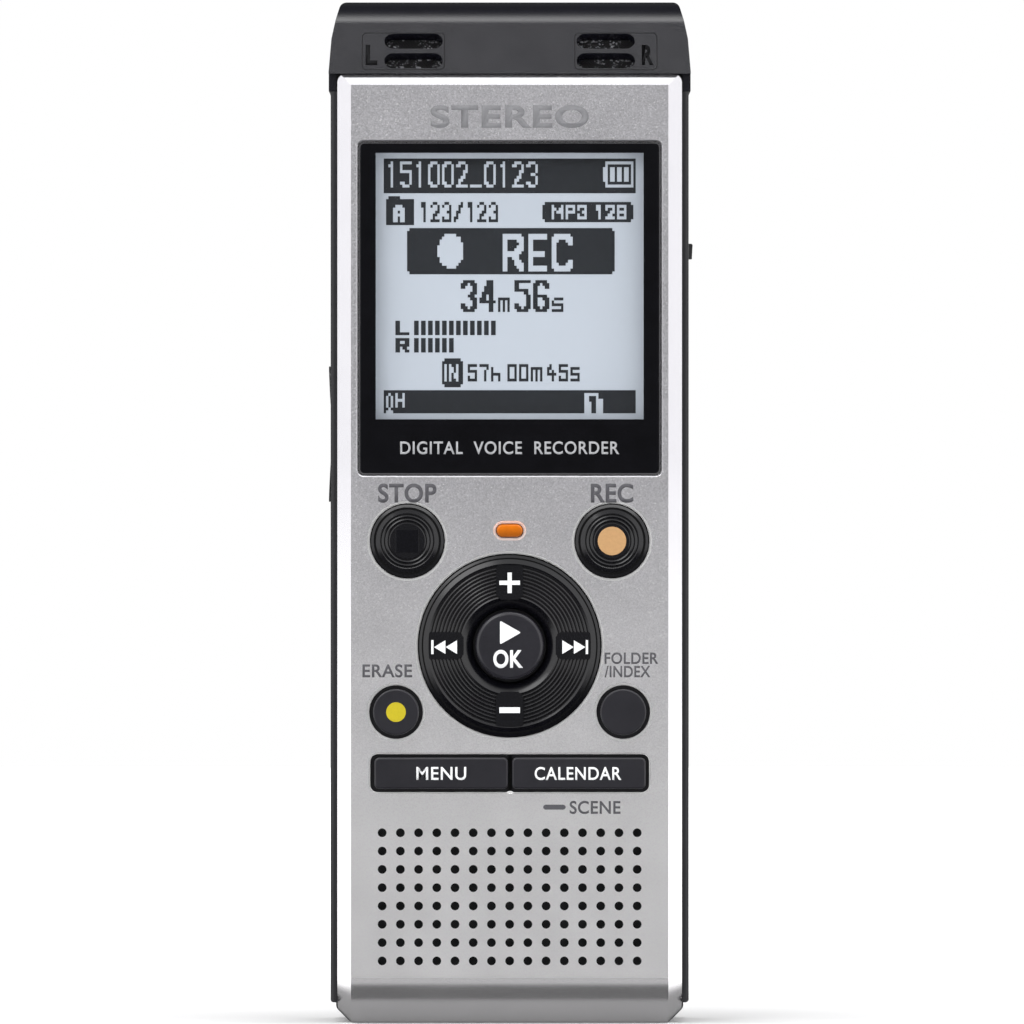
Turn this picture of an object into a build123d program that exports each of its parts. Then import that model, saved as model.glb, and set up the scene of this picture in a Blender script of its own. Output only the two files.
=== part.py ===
"""Handheld stereo recorder, built as the separate pieces that come apart on a bench.

Frame: X is to the right of the display, Y runs from the display to the back, Z is up towards the
microphones. The origin is the middle of the bottom end, on the surface that the recorder stands on.
All sizes are in millimetres. Depths are given as Y, so the display face is at front_y and the back
is at back_y.
"""

import os

from build123d import *

os.makedirs("parts", exist_ok=True)

# Driving dimensions of the whole recorder
body_width = 39.0
body_height = 111.5
body_depth = 18.0
front_y = -body_depth / 2
back_y = body_depth / 2
half_width = body_width / 2

# Front cover: silver shell with a bevelled face, rolled under at the bottom
cover_half = 18.75
cover_top = 103.34
cover_wall = 1.2
split_y = -3.8
roll_radius = split_y - front_y
side_bevel = 1.5
top_bevel = 1.2
cover_top_radius = 0.9
cover_bottom_radius = 1.9
cover_inner_half = 17.55
face_inner_y = front_y + cover_wall
lip_bevel = 0.3
slot_lip_bevel = 0.17

# Display window and the display behind it
window_width = 32.7
window_height = 36.05
window_z = 77.84
window_gap = 0.1
window_depth = 1.15
window_thickness = 1.0
view_width = 29.1
view_height = 29.0
view_z = 80.28
ledge_back_y = -7.15
glass_width = 31.0
glass_height = 33.0
glass_z = 79.4
glass_front_y = -7.1
glass_back_y = -5.8
guide_back_y = -4.95
frame_back_y = -4.7

# Keys: places on the face, and how deep each layer lies
key_travel = 0.4
stop_x, stop_z = -11.12, 52.55
rec_x, rec_z = 11.12, 52.55
erase_x, erase_z = -12.35, 33.95
folder_x, folder_z = 12.35, 33.95
nav_x, nav_z = 0.0, 41.17
menu_z = 27.31
big_hole_radius = 4.08
big_band_radius = 3.42
big_skirt_radius = 3.95
small_hole_radius = 2.92
small_cap_radius = 2.5
nav_hole_radius = 10.0
nav_band_radius = 9.4
nav_ring_radius = 9.84
nav_bore_radius = 3.98
ok_radius = 3.74
slot_width = 30.3
slot_height = 4.12
bar_key_width = 14.55
bar_key_height = 3.4
key_front_y = -9.45
flange_front_y = -7.75
flange_back_y = -7.25
stem_end_y = -5.4
stem_radius = 1.1
nav_flange_radius = 10.5
nav_flange_front_y = -7.35
nav_flange_back_y = -6.95
nav_stem_end_y = -5.22
nav_pad_radius = 7.6
groove_width = 0.14
groove_depth = 0.16
led_z = 53.67
led_width = 2.9
led_height = 1.42

# Speaker grille and speaker
grille_pitch_x = 1.98
grille_pitch_z = 1.99
grille_columns = 15
grille_rows = 8
grille_hole_radius = 0.475
speaker_z = 13.87
speaker_radius = 9.0

# Circuit board
board_front_y = -4.6
board_back_y = -3.8
board_half = 16.9
board_bottom = 21.6
board_top = 100.6

# Rear cover: black tub whose side walls come forward as rails beside the front cover
rear_wall = 1.3
rail_front_y = -6.8
rail_inner_half = 18.8
rear_inner_half = 18.2
rear_inner_y = back_y - rear_wall
rear_top = 101.5
foot_half = 18.95
foot_height = 2.3
foot_front_y = -3.75
foot_corner = 1.6
back_corner_radius = 2.5

# Microphone cap
cap_gap = 0.05
cap_bottom = cover_top + cap_gap
cap_side_bottom = rear_top + cap_gap
cap_wall = 1.2
mic_x = 10.47
slot_rows_z = (107.02, 104.83)
mic_slot_width = 6.35
mic_slot_height = 1.68

# Screws
case_screw_places = [(-15.6, 98.9), (15.6, 98.9), (-15.9, 5.0), (15.9, 5.0)]
board_screw_places = [(-15.6, 23.1), (15.6, 23.1), (-8.0, 98.7), (8.0, 98.7)]

# Side controls
jack_y = -0.9
jack_zs = {"microphone_jack": 69.15, "earphone_jack": 59.3}
jack_bore_radius = 1.8
jack_collar_radius = 2.48
jack_proud = 0.28
jack_depth = 14.0
hold_z = 84.2
hold_y = -0.6
hold_travel = 1.5
card_z = 89.0

# Battery bay and its cover
bay_left, bay_right = -4.4, 17.2
bay_bottom, bay_top = 29.2, 76.4
battery_radius = 5.15
battery_length = 43.6
battery_y = 2.45
battery_xs = (1.05, 11.75)
door_half = 16.4
door_bottom = 28.2
door_axis_y, door_axis_z = 8.4, 79.2
door_thickness = 1.2

# Stand
stand_half = 8.5
stand_axis_y, stand_axis_z = 8.05, 96.3
stand_bottom = 83.0
stand_thickness = 1.7

# USB plug on its carriage
usb_y = 3.2
usb_width, usb_height, usb_length = 12.0, 4.5, 18.8
usb_bottom = 0.5
usb_travel = 18.5


def face_plane(y):
    """A plane across the recorder at depth y, drawn in (x, z), that extrudes towards the viewer."""
    return Plane(origin=(0, y, 0), x_dir=(1, 0, 0), z_dir=(0, -1, 0))


def turning_plane(x, z):
    """A plane through an axis that runs along Y at (x, z), drawn in (radius, -y)."""
    return Plane(origin=(x, 0, z), x_dir=(1, 0, 0), z_dir=(0, 0, -1))


def turning_axis(x, z):
    return Axis((x, 0, z), (0, 1, 0))


def save(piece, name):
    """Labels a finished piece and writes its STEP file."""
    piece.label = name
    export_step(piece, f"parts/{name}.step")


# ---------------------------------------------------------------- front cover
with BuildPart() as front_cover:
    with BuildSketch(Plane.YZ):
        with BuildLine():
            Polyline((front_y, roll_radius), (front_y, cover_top), (split_y, cover_top), (split_y, 0))
            RadiusArc((split_y, 0), (front_y, roll_radius), roll_radius)
        make_face()
    extrude(amount=cover_half, both=True)
    # The bevel runs down both sides and round the roll, and along the top.
    side_edges = (
        front_cover.edges()
        .filter_by(lambda e: abs(abs(e.center().X) - cover_half) < 0.01)
        .filter_by(lambda e: e.center().Y < split_y - 0.5 and e.length > 6)
    )
    chamfer(side_edges, side_bevel)
    top_edge = (
        front_cover.edges()
        .filter_by(Axis.X)
        .filter_by(lambda e: e.center().Z > cover_top - 0.1 and e.center().Y < front_y + 0.1)
    )
    chamfer(top_edge, top_bevel)
    # Rounded corners in the front view
    with BuildSketch(face_plane(split_y)) as outline:
        with Locations((0, cover_top / 2)):
            Rectangle(2 * cover_half, cover_top)
        fillet(outline.vertices().group_by(Axis.Y)[-1], cover_top_radius)
        fillet(outline.vertices().group_by(Axis.Y)[0], cover_bottom_radius)
    extrude(amount=roll_radius, mode=Mode.INTERSECT)
    # Hollow
    with BuildSketch(Plane.YZ):
        with BuildLine():
            inner_roll = roll_radius - cover_wall
            Polyline(
                (face_inner_y, roll_radius),
                (face_inner_y, cover_top - cover_wall),
                (split_y, cover_top - cover_wall),
                (split_y, cover_wall),
            )
            RadiusArc((split_y, cover_wall), (face_inner_y, roll_radius), inner_roll)
        make_face()
    extrude(amount=cover_inner_half, both=True, mode=Mode.SUBTRACT)
    # Ledge that the window is glued to
    with BuildSketch(face_plane(ledge_back_y)):
        with Locations((0, window_z)):
            Rectangle(window_width + 1.8, window_height + 1.8)
    extrude(amount=ledge_back_y - front_y)
    with BuildSketch(face_plane(front_y + window_depth)):
        with Locations((0, window_z)):
            RectangleRounded(window_width, window_height, 0.5)
    extrude(amount=window_depth, mode=Mode.SUBTRACT)
    with BuildSketch(face_plane(ledge_back_y)):
        with Locations((0, view_z)):
            Rectangle(view_width + 0.9, view_height + 0.9)
    extrude(amount=2, mode=Mode.SUBTRACT)
    # Bosses for the case screws and the board screws
    with BuildSketch(face_plane(split_y)):
        with Locations(*case_screw_places):
            Circle(1.6)
    extrude(amount=split_y - face_inner_y + 0.2)
    with BuildSketch(face_plane(board_front_y)):
        with Locations(*board_screw_places):
            Circle(1.25)
    extrude(amount=board_front_y - face_inner_y + 0.2)
    with BuildSketch(face_plane(split_y)):
        with Locations(*case_screw_places):
            Circle(0.82)
    extrude(amount=3.3, mode=Mode.SUBTRACT)
    with BuildSketch(face_plane(board_front_y)):
        with Locations(*board_screw_places):
            Circle(0.52)
    extrude(amount=2.6, mode=Mode.SUBTRACT)
    # Openings for the keys and the indicator
    with BuildSketch(face_plane(0)) as key_openings:
        with Locations((stop_x, stop_z), (rec_x, rec_z)):
            Circle(big_hole_radius)
        with Locations((erase_x, erase_z), (folder_x, folder_z)):
            Circle(small_hole_radius)
        with Locations((nav_x, nav_z)):
            Circle(nav_hole_radius)
        with Locations((0, menu_z)):
            RectangleRounded(slot_width, slot_height, 0.8)
        with Locations((0, led_z)):
            SlotOverall(led_width + 0.1, led_height + 0.1)
    extrude(amount=-front_y, mode=Mode.SUBTRACT)
    # A bright little bevel round each opening
    lips = (
        front_cover.faces()
        .filter_by(Plane.XZ)
        .sort_by(Axis.Y)[0]
        .inner_wires()
        .edges()
    )
    slot_lips = lips.filter_by(lambda e: abs(e.center().Z - menu_z) < slot_height / 2 + 0.1)
    round_lips = lips.filter_by(lambda e: abs(e.center().Z - menu_z) > slot_height / 2 + 0.1)
    chamfer(round_lips, lip_bevel)
    chamfer(slot_lips, slot_lip_bevel)
    # A small cusp at the foot of the bar slot points between the pair of keys.
    with BuildSketch(face_plane(face_inner_y)):
        with Locations((0.04, menu_z - slot_height / 2 - 0.42)):
            Circle(0.55)
    extrude(amount=cover_wall - 0.06)
    # Speaker grille
    with BuildSketch(face_plane(face_inner_y)):
        with Locations((0, speaker_z)):
            with GridLocations(grille_pitch_x, grille_pitch_z, grille_columns, grille_rows):
                Circle(grille_hole_radius)
    extrude(amount=cover_wall + 0.5, mode=Mode.SUBTRACT)
save(front_cover.part, "front_cover")


# ---------------------------------------------------------------- display
with BuildPart() as display_window:
    window_front_y = front_y + window_depth - window_gap - window_thickness
    with BuildSketch(face_plane(window_front_y + window_thickness)):
        with Locations((0, window_z)):
            RectangleRounded(window_width - 2 * window_gap, window_height - 2 * window_gap, 0.45)
    extrude(amount=window_thickness)
    front_rim = display_window.faces().sort_by(Axis.Y)[0].edges()
    chamfer(front_rim, 0.12)
save(display_window.part, "display_window")

with BuildPart() as window_tape:
    with BuildSketch(face_plane(front_y + window_depth)):
        with Locations((0, window_z)):
            RectangleRounded(window_width - 0.4, window_height - 0.4, 0.4)
        with Locations((0, view_z)):
            Rectangle(view_width + 1.1, view_height + 1.1, mode=Mode.SUBTRACT)
    extrude(amount=window_gap)
save(window_tape.part, "window_tape")

with BuildPart() as lcd_glass:
    with BuildSketch(face_plane(glass_back_y)):
        with Locations((0, glass_z)):
            Rectangle(glass_width, glass_height)
    extrude(amount=glass_back_y - glass_front_y)
    # The upper pane is shorter, which leaves a shelf for the flexible circuit.
    with BuildSketch(face_plane(glass_back_y - 0.65)):
        with Locations((0, glass_z - glass_height / 2 + 0.7)):
            Rectangle(glass_width, 1.4)
    extrude(amount=1, mode=Mode.SUBTRACT)
save(lcd_glass.part, "lcd_glass")

with BuildPart() as light_guide:
    with BuildSketch(face_plane(guide_back_y)):
        with Locations((0, glass_z)):
            RectangleRounded(glass_width - 1.4, glass_height - 1.4, 0.5)
    extrude(amount=guide_back_y - glass_back_y)
save(light_guide.part, "light_guide")

with BuildPart() as lcd_frame:
    with BuildSketch(face_plane(frame_back_y)):
        with Locations((0, glass_z)):
            RectangleRounded(glass_width + 1.2, glass_height + 1.4, 0.6)
    extrude(amount=frame_back_y - glass_front_y)
    with BuildSketch(face_plane(glass_back_y)):
        with Locations((0, glass_z)):
            Rectangle(glass_width + 0.2, glass_height + 0.2)
    extrude(amount=3, mode=Mode.SUBTRACT)
    with BuildSketch(face_plane(guide_back_y)):
        with Locations((0, glass_z)):
            RectangleRounded(glass_width - 1.2, glass_height - 1.2, 0.5)
    extrude(amount=3, mode=Mode.SUBTRACT)
    # Notch for the flexible circuit
    with BuildSketch(face_plane(-6.1)):
        with Locations((0, glass_z - glass_height / 2 - 0.4)):
            Rectangle(13, 1.2)
    extrude(amount=3, mode=Mode.SUBTRACT)
save(lcd_frame.part, "lcd_frame")

with BuildPart() as lcd_flex:
    shelf_z = glass_z - glass_height / 2
    with BuildSketch(Plane.YZ):
        with BuildLine():
            Polyline(
                (-6.57, shelf_z + 1.3),
                (-6.57, shelf_z - 1.0),
                (-4.72, shelf_z - 1.6),
                (-4.72, shelf_z - 4.0),
                (-4.61, shelf_z - 4.0),
                (-4.61, shelf_z - 1.5),
                (-6.46, shelf_z - 0.9),
                (-6.46, shelf_z + 1.3),
                close=True,
            )
        make_face()
    extrude(amount=6, both=True)
save(lcd_flex.part, "lcd_flex")


# ---------------------------------------------------------------- keys
def grooved(radii, height, crown):
    """Profile of square grooves at these radii, with crowned lands between, on a surface at height(radius)."""
    points = []
    for before, radius in zip([None, *radii], radii):
        if before is not None:
            middle = (before + radius) / 2
            points.append((middle, height(middle)))
        edge = height(radius) - crown
        points += [
            (radius - groove_width / 2, edge),
            (radius - groove_width / 2, edge - groove_depth),
            (radius + groove_width / 2, edge - groove_depth),
            (radius + groove_width / 2, edge),
        ]
    return points


def key_back(x, z, flange_radius):
    """A round key's flange, which lies behind the cover, and its stem."""
    with BuildPart() as back:
        with BuildSketch(face_plane(flange_back_y)):
            with Locations((x, z)):
                Circle(flange_radius)
        extrude(amount=flange_back_y - flange_front_y)
        with BuildSketch(face_plane(stem_end_y)):
            with Locations((x, z)):
                Circle(stem_radius)
        extrude(amount=stem_end_y - flange_back_y)
    return back.part


def big_key(x, z, grooves):
    """A large round key: flat middle, fine rings, a sloping band, a deep groove and a lower skirt."""
    with BuildPart() as key:
        with BuildSketch(turning_plane(x, z)):
            with BuildLine():
                Polyline(
                    (0, -flange_front_y),
                    (0, -key_front_y),
                    (grooves[0] - groove_width / 2 - 0.1, -key_front_y),
                    *grooved(grooves, lambda radius: -key_front_y, 0.06),
                    (grooves[-1] + groove_width / 2 + 0.08, -key_front_y),
                    (big_band_radius, -key_front_y - 0.24),
                    (big_band_radius, -key_front_y - 0.7),
                    (big_band_radius + 0.24, -key_front_y - 0.7),
                    (big_band_radius + 0.24, -key_front_y - 0.26),
                    (big_skirt_radius, -key_front_y - 0.48),
                    (big_skirt_radius, -flange_front_y),
                    close=True,
                )
            make_face()
        revolve(axis=turning_axis(x, z), revolution_arc=360)
        add(key_back(x, z, 4.6))
    return key.part


def small_key(x, z):
    """A small round key: flat cap with a finely softened edge."""
    with BuildPart() as key:
        with BuildSketch(face_plane(flange_front_y)):
            with Locations((x, z)):
                Circle(small_cap_radius)
        extrude(amount=flange_front_y - key_front_y)
        fillet(key.faces().sort_by(Axis.Y)[0].edges(), 0.16)
        add(key_back(x, z, 3.3))
    return key.part


def bar_key(left, right):
    """One of the pair of bar keys in the slot, from x=left to x=right."""
    middle = (left + right) / 2
    outward = 0.45 if middle > 0 else -0.45
    with BuildPart() as key:
        with BuildSketch(face_plane(flange_front_y)):
            with Locations((middle, menu_z)):
                RectangleRounded(right - left, bar_key_height, 0.55)
        extrude(amount=flange_front_y - key_front_y)
        fillet(key.faces().sort_by(Axis.Y)[0].edges(), 0.2)
        with BuildSketch(face_plane(flange_back_y)):
            with Locations((middle + outward / 2, menu_z)):
                Rectangle(right - left + 0.45, bar_key_height + 1.5)
        extrude(amount=flange_back_y - flange_front_y)
        with BuildSketch(face_plane(stem_end_y)):
            with Locations((middle, menu_z)):
                Circle(stem_radius)
        extrude(amount=stem_end_y - flange_back_y)
    return key.part


save(big_key(stop_x, stop_z, (2.08, 2.48, 2.87)), "stop_button")
save(big_key(rec_x, rec_z, (2.05, 2.45, 2.85)), "rec_button")
save(small_key(erase_x, erase_z), "erase_button")
save(small_key(folder_x, folder_z), "folder_button")
save(bar_key(-14.7, -0.17), "menu_button")
save(bar_key(0.25, 14.78), "calendar_button")

# Outline of one of the pads that carry the ring's symbols. Its inner corners are cut off.
pad_width, pad_inner, pad_outer = 2.95, 5.0, 8.75
with BuildSketch() as pad:
    RectangleRounded(pad_outer - pad_inner, pad_width, 0.3)
    for side in (-1, 1):
        with Locations(((pad_inner - pad_outer) / 2, side * pad_width / 2)):
            Rectangle(0.75, 0.75, rotation=45, mode=Mode.SUBTRACT)

with BuildPart() as nav_ring:
    # Profile from the bore outwards: a deep bowl, the ridged slope, a sloping band, a groove and a skirt
    ridge_radii = [5.5 + step * (8.6 - 5.5) / 8 for step in range(9)]
    with BuildSketch(turning_plane(nav_x, nav_z)):
        with BuildLine():
            ThreePointArc((nav_bore_radius, 8.0), (4.62, 8.86), (5.28, 9.2))
            Polyline(
                (5.28, 9.2),
                *grooved(ridge_radii, lambda radius: 9.22 + 0.16 * (radius - 5.3) / 3.45, 0.075),
                (8.76, 9.36),
                (8.92, 9.45),
                (nav_band_radius, 9.24),
                (nav_band_radius, 8.9),
                (nav_band_radius + 0.16, 8.9),
                (nav_band_radius + 0.16, 9.2),
                (nav_ring_radius, 9.06),
                (nav_ring_radius, -nav_flange_front_y),
                (nav_flange_radius, -nav_flange_front_y),
                (nav_flange_radius, -nav_flange_back_y),
                (nav_bore_radius, -nav_flange_back_y),
                (nav_bore_radius, 8.0),
            )
        make_face()
    revolve(axis=turning_axis(nav_x, nav_z), revolution_arc=360)
    # Four smooth pads
    with BuildSketch(face_plane(-8.9)):
        with Locations((nav_x, nav_z)):
            with PolarLocations((pad_inner + pad_outer) / 2, 4):
                add(pad.sketch)
    extrude(amount=0.52)
    # Plungers that reach the dome switches
    with BuildSketch(face_plane(nav_stem_end_y)):
        with Locations((nav_x, nav_z)):
            with PolarLocations(nav_pad_radius, 4):
                Circle(0.75)
    extrude(amount=nav_stem_end_y - nav_flange_back_y)
save(nav_ring.part, "nav_ring")

with BuildPart() as nav_ring_web:
    with BuildSketch(face_plane(-6.4)):
        with Locations((nav_x, nav_z)):
            Circle(6.5)
            Circle(5.0, mode=Mode.SUBTRACT)
    extrude(amount=0.3)
save(nav_ring_web.part, "nav_ring_web")

with BuildPart() as ok_button:
    with BuildSketch(face_plane(-6.6)):
        with Locations((nav_x, nav_z)):
            Circle(ok_radius)
    extrude(amount=-6.6 - key_front_y)
    fillet(ok_button.faces().sort_by(Axis.Y)[0].edges(), 0.45)
    # A flange behind the ring holds it in.
    with BuildSketch(face_plane(-6.2)):
        with Locations((nav_x, nav_z)):
            Circle(4.5)
    extrude(amount=0.4)
    with BuildSketch(face_plane(stem_end_y)):
        with Locations((nav_x, nav_z)):
            Circle(stem_radius)
    extrude(amount=stem_end_y + 6.2)
save(ok_button.part, "ok_button")

dome_places = [
    (stop_x, stop_z),
    (rec_x, rec_z),
    (erase_x, erase_z),
    (folder_x, folder_z),
    (-7.43, menu_z),
    (7.51, menu_z),
    (nav_x, nav_z),
    (nav_x + nav_pad_radius, nav_z),
    (nav_x - nav_pad_radius, nav_z),
    (nav_x, nav_z + nav_pad_radius),
    (nav_x, nav_z - nav_pad_radius),
]

with BuildPart() as key_retainer:
    # Stiff sheet behind the key flanges, with a guide hole for every stem
    with BuildSketch(face_plane(-6.0)):
        with Locations((0, 41.4)):
            RectangleRounded(34.4, 33.2, 1.0)
        with Locations(*dome_places[:6]):
            Circle(stem_radius + 0.3, mode=Mode.SUBTRACT)
        with Locations((nav_x, nav_z)):
            Circle(10.9, mode=Mode.SUBTRACT)
        with Locations((0, led_z)):
            RectangleRounded(4.4, 3.0, 0.5, mode=Mode.SUBTRACT)
    extrude(amount=0.6)
    # Short posts hold it off the cover.
    with BuildSketch(face_plane(-6.6)):
        with Locations((-16.3, 45), (16.3, 45), (-16.3, 57), (16.3, 57)):
            Circle(0.7)
    extrude(amount=-6.6 - face_inner_y - 0.02)
save(key_retainer.part, "key_retainer")

with BuildPart() as dome_switches:
    with BuildSketch(face_plane(board_front_y)):
        with Locations(*dome_places):
            Circle(1.9)
    extrude(amount=0.38)
    fillet(dome_switches.faces().filter_by(lambda f: abs(f.center().Y + 4.98) < 0.001).edges(), 0.25)
save(dome_switches.part, "dome_switches")

with BuildPart() as led_lens:
    with BuildSketch(face_plane(-7.2)):
        with Locations((0, led_z)):
            SlotOverall(led_width - 0.06, led_height - 0.06)
    extrude(amount=1.9)
    fillet(led_lens.faces().sort_by(Axis.Y)[0].edges(), 0.2)
    with BuildSketch(face_plane(-7.2)):
        with Locations((0, led_z)):
            SlotOverall(led_width + 0.8, led_height + 0.8)
    extrude(amount=0.55)
    with BuildSketch(face_plane(-5.4)):
        with Locations((0, led_z)):
            Rectangle(2.0, 1.2)
    extrude(amount=1.9)
save(led_lens.part, "led_lens")

with BuildPart() as record_led:
    with BuildSketch(face_plane(board_front_y)):
        with Locations((0, led_z)):
            Rectangle(1.6, 0.9)
    extrude(amount=0.6)
save(record_led.part, "record_led")


# ---------------------------------------------------------------- circuit board and its parts
with BuildPart() as main_board:
    board_middle = (board_bottom + board_top) / 2
    with BuildSketch(face_plane(board_back_y)):
        with Locations((0, board_middle)):
            RectangleRounded(2 * board_half, board_top - board_bottom, 0.6)
        # Room for the screw bosses at the top, and for the speaker at the bottom
        for side in (-1, 1):
            with Locations((side * (board_half - 1.6), board_top - 1.8)):
                Rectangle(4.2, 4.4, mode=Mode.SUBTRACT)
        with Locations((0, board_bottom)):
            Rectangle(25.0, 5.8, mode=Mode.SUBTRACT)
        with Locations(*board_screw_places):
            Circle(0.7, mode=Mode.SUBTRACT)
    extrude(amount=board_back_y - board_front_y)
save(main_board.part, "main_board")


def chip(x, z, width, height, thickness):
    """A flat package on the back of the board."""
    with BuildPart() as package:
        with BuildSketch(face_plane(board_back_y + 0.02 + thickness)):
            with Locations((x, z)):
                Rectangle(width, height)
        extrude(amount=thickness)
        chamfer(package.faces().sort_by(Axis.Y)[-1].edges(), 0.12)
    return package.part


save(chip(4.2, 89.5, 9.0, 9.0, 1.0), "processor_chip")
save(chip(-10.6, 39.0, 9.0, 12.0, 1.0), "memory_chip")

with BuildPart() as case_screws:
    with BuildSketch(face_plane(4.3)):
        with Locations(*case_screw_places):
            Circle(1.6)
    extrude(amount=1.28)
    # Cross recess
    with BuildSketch(face_plane(4.3)):
        with Locations(*case_screw_places):
            Rectangle(1.7, 0.35)
            Rectangle(0.35, 1.7)
    extrude(amount=0.6, mode=Mode.SUBTRACT)
    with BuildSketch(face_plane(3.1)):
        with Locations(*case_screw_places):
            Circle(0.8)
    extrude(amount=9.7)
save(case_screws.part, "case_screws")

with BuildPart() as board_screws:
    with BuildSketch(face_plane(-2.9)):
        with Locations(*board_screw_places):
            Circle(1.15)
    extrude(amount=0.88)
    with BuildSketch(face_plane(-2.9)):
        with Locations(*board_screw_places):
            Rectangle(1.2, 0.28)
            Rectangle(0.28, 1.2)
    extrude(amount=0.4, mode=Mode.SUBTRACT)
    with BuildSketch(face_plane(-3.4)):
        with Locations(*board_screw_places):
            Circle(0.5)
    extrude(amount=3.6)
save(board_screws.part, "board_screws")


# ---------------------------------------------------------------- speaker
def ring(x, z, outer_radius, inner_radius, from_y, to_y):
    """A flat ring about an axis along Y."""
    with BuildPart() as washer:
        with BuildSketch(face_plane(to_y)):
            with Locations((x, z)):
                Circle(outer_radius)
                if inner_radius:
                    Circle(inner_radius, mode=Mode.SUBTRACT)
        extrude(amount=to_y - from_y)
    return washer.part


with BuildPart() as speaker_cloth:
    with BuildSketch(face_plane(-7.66)):
        with Locations((0, speaker_z)):
            Rectangle(28.4, 15.0)
    extrude(amount=0.12)
save(speaker_cloth.part, "speaker_cloth")

save(ring(0, speaker_z, speaker_radius, 7.9, -7.64, -7.22), "speaker_gasket")

with BuildPart() as speaker_frame:
    # Pressed basket with a flat seat for the magnet and sound holes round it
    with BuildSketch(turning_plane(0, speaker_z)):
        with BuildLine():
            Polyline(
                (speaker_radius, 7.2),
                (speaker_radius, 6.5),
                (7.7, 6.3),
                (6.6, 5.4),
                (0, 5.4),
                (0, 5.75),
                (6.3, 5.75),
                (7.3, 6.7),
                (8.3, 6.75),
                (8.3, 7.2),
                close=True,
            )
        make_face()
    revolve(axis=turning_axis(0, speaker_z), revolution_arc=360)
    with BuildSketch(face_plane(-5.3)):
        with Locations((0, speaker_z)):
            with PolarLocations(5.6, 6):
                Circle(0.55)
    extrude(amount=0.6, mode=Mode.SUBTRACT)
save(speaker_frame.part, "speaker_frame")

with BuildPart() as speaker_cone:
    with BuildSketch(turning_plane(0, speaker_z)):
        with BuildLine():
            Polyline(
                (8.1, 7.12),
                (7.6, 7.15),
                (7.2, 7.35),
                (6.6, 7.1),
                (2.8, 6.45),
                (1.6, 6.8),
                (0, 6.92),
                (0, 6.77),
                (1.5, 6.65),
                (2.7, 6.27),
                (6.65, 6.92),
                (7.2, 7.15),
                (7.6, 6.95),
                (8.1, 6.92),
                close=True,
            )
        make_face()
    revolve(axis=turning_axis(0, speaker_z), revolution_arc=360)
save(speaker_cone.part, "speaker_cone")

save(ring(0, speaker_z, 4.6, 0, -5.38, -3.9), "speaker_magnet")


# ---------------------------------------------------------------- microphone cap
slant_foot = (-8.2, cap_bottom)
slant_head = (-4.5, 109.0)
slant_run = slant_head[0] - slant_foot[0]
slant_rise = slant_head[1] - slant_foot[1]
slant_length = (slant_run**2 + slant_rise**2) ** 0.5
slant_plane = Plane(
    origin=(0, slant_foot[0], slant_foot[1]),
    x_dir=(1, 0, 0),
    z_dir=(0, -slant_rise, slant_run),
)


def up_the_slant(z):
    """How far up the slanted face a point seen at height z lies."""
    return (z - slant_foot[1]) * slant_length / slant_rise


with BuildPart() as mic_cap:
    with BuildSketch(Plane.YZ):
        with BuildLine():
            Line((slant_foot[0], slant_foot[1]), (slant_head[0], slant_head[1]))
            ThreePointArc((slant_head[0], slant_head[1]), (-2.495, 110.836), (0.14, body_height))
            Line((0.14, body_height), (6.0, body_height))
            RadiusArc((6.0, body_height), (back_y, body_height - 3.0), 3.0)
            Line((back_y, body_height - 3.0), (back_y, cap_side_bottom))
            Line((back_y, cap_side_bottom), (-3.7, cap_side_bottom))
            Line((-3.7, cap_side_bottom), (-3.7, cap_bottom))
            Line((-3.7, cap_bottom), (slant_foot[0], slant_foot[1]))
        make_face()
    extrude(amount=19.7, both=True)
    # Ears that come down over the tops of the rails
    for side in (-1, 1):
        with BuildSketch(Plane.XY.offset(cap_side_bottom)):
            with Locations((side * (19.7 + rail_inner_half + 0.05) / 2, (rail_front_y - 3.7) / 2)):
                Rectangle(19.7 - rail_inner_half - 0.05, -3.7 - rail_front_y)
        extrude(amount=cap_bottom - cap_side_bottom + 0.5)
    # Hollow
    with BuildSketch(Plane.YZ):
        with BuildLine():
            Polyline(
                (-6.75, cap_bottom),
                (-3.05, 109.0),
                (-1.0, body_height - cap_wall),
                (6.0, body_height - cap_wall),
                (back_y - cap_wall, body_height - 3.2),
                (back_y - cap_wall, cap_side_bottom),
                (-3.7, cap_side_bottom),
                (-3.7, cap_bottom),
                close=True,
            )
        make_face()
    extrude(amount=17.2, both=True, mode=Mode.SUBTRACT)
    # Front view: the sides lean in towards the top.
    with BuildSketch(face_plane(12)) as cap_front:
        with BuildLine():
            Polyline(
                (-19.7, cap_side_bottom),
                (-19.7, 103.6),
                (-19.43, 107.3),
                (-19.0, 109.4),
                (-18.4, body_height),
                (18.4, body_height),
                (19.0, 109.4),
                (19.43, 107.3),
                (19.7, 103.6),
                (19.7, cap_side_bottom),
                close=True,
            )
        make_face()
        fillet(cap_front.vertices().group_by(Axis.Y)[-1], 0.9)
    extrude(amount=24, mode=Mode.INTERSECT)
    # Plan: rounded back corners and softened front ones
    with BuildSketch(Plane.XY.offset(100)) as cap_plan:
        with Locations((0, 0)):
            Rectangle(39.4, body_depth)
        fillet(cap_plan.vertices().group_by(Axis.Y)[-1], back_corner_radius)
    extrude(amount=20, mode=Mode.INTERSECT)
    # Two sound slots over each microphone
    with BuildSketch(slant_plane):
        for slot_z in slot_rows_z:
            with Locations((-mic_x, up_the_slant(slot_z)), (mic_x, up_the_slant(slot_z))):
                SlotOverall(mic_slot_width, mic_slot_height * slant_length / slant_rise)
    extrude(amount=-2.2, mode=Mode.SUBTRACT)
save(mic_cap.part, "mic_cap")

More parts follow.
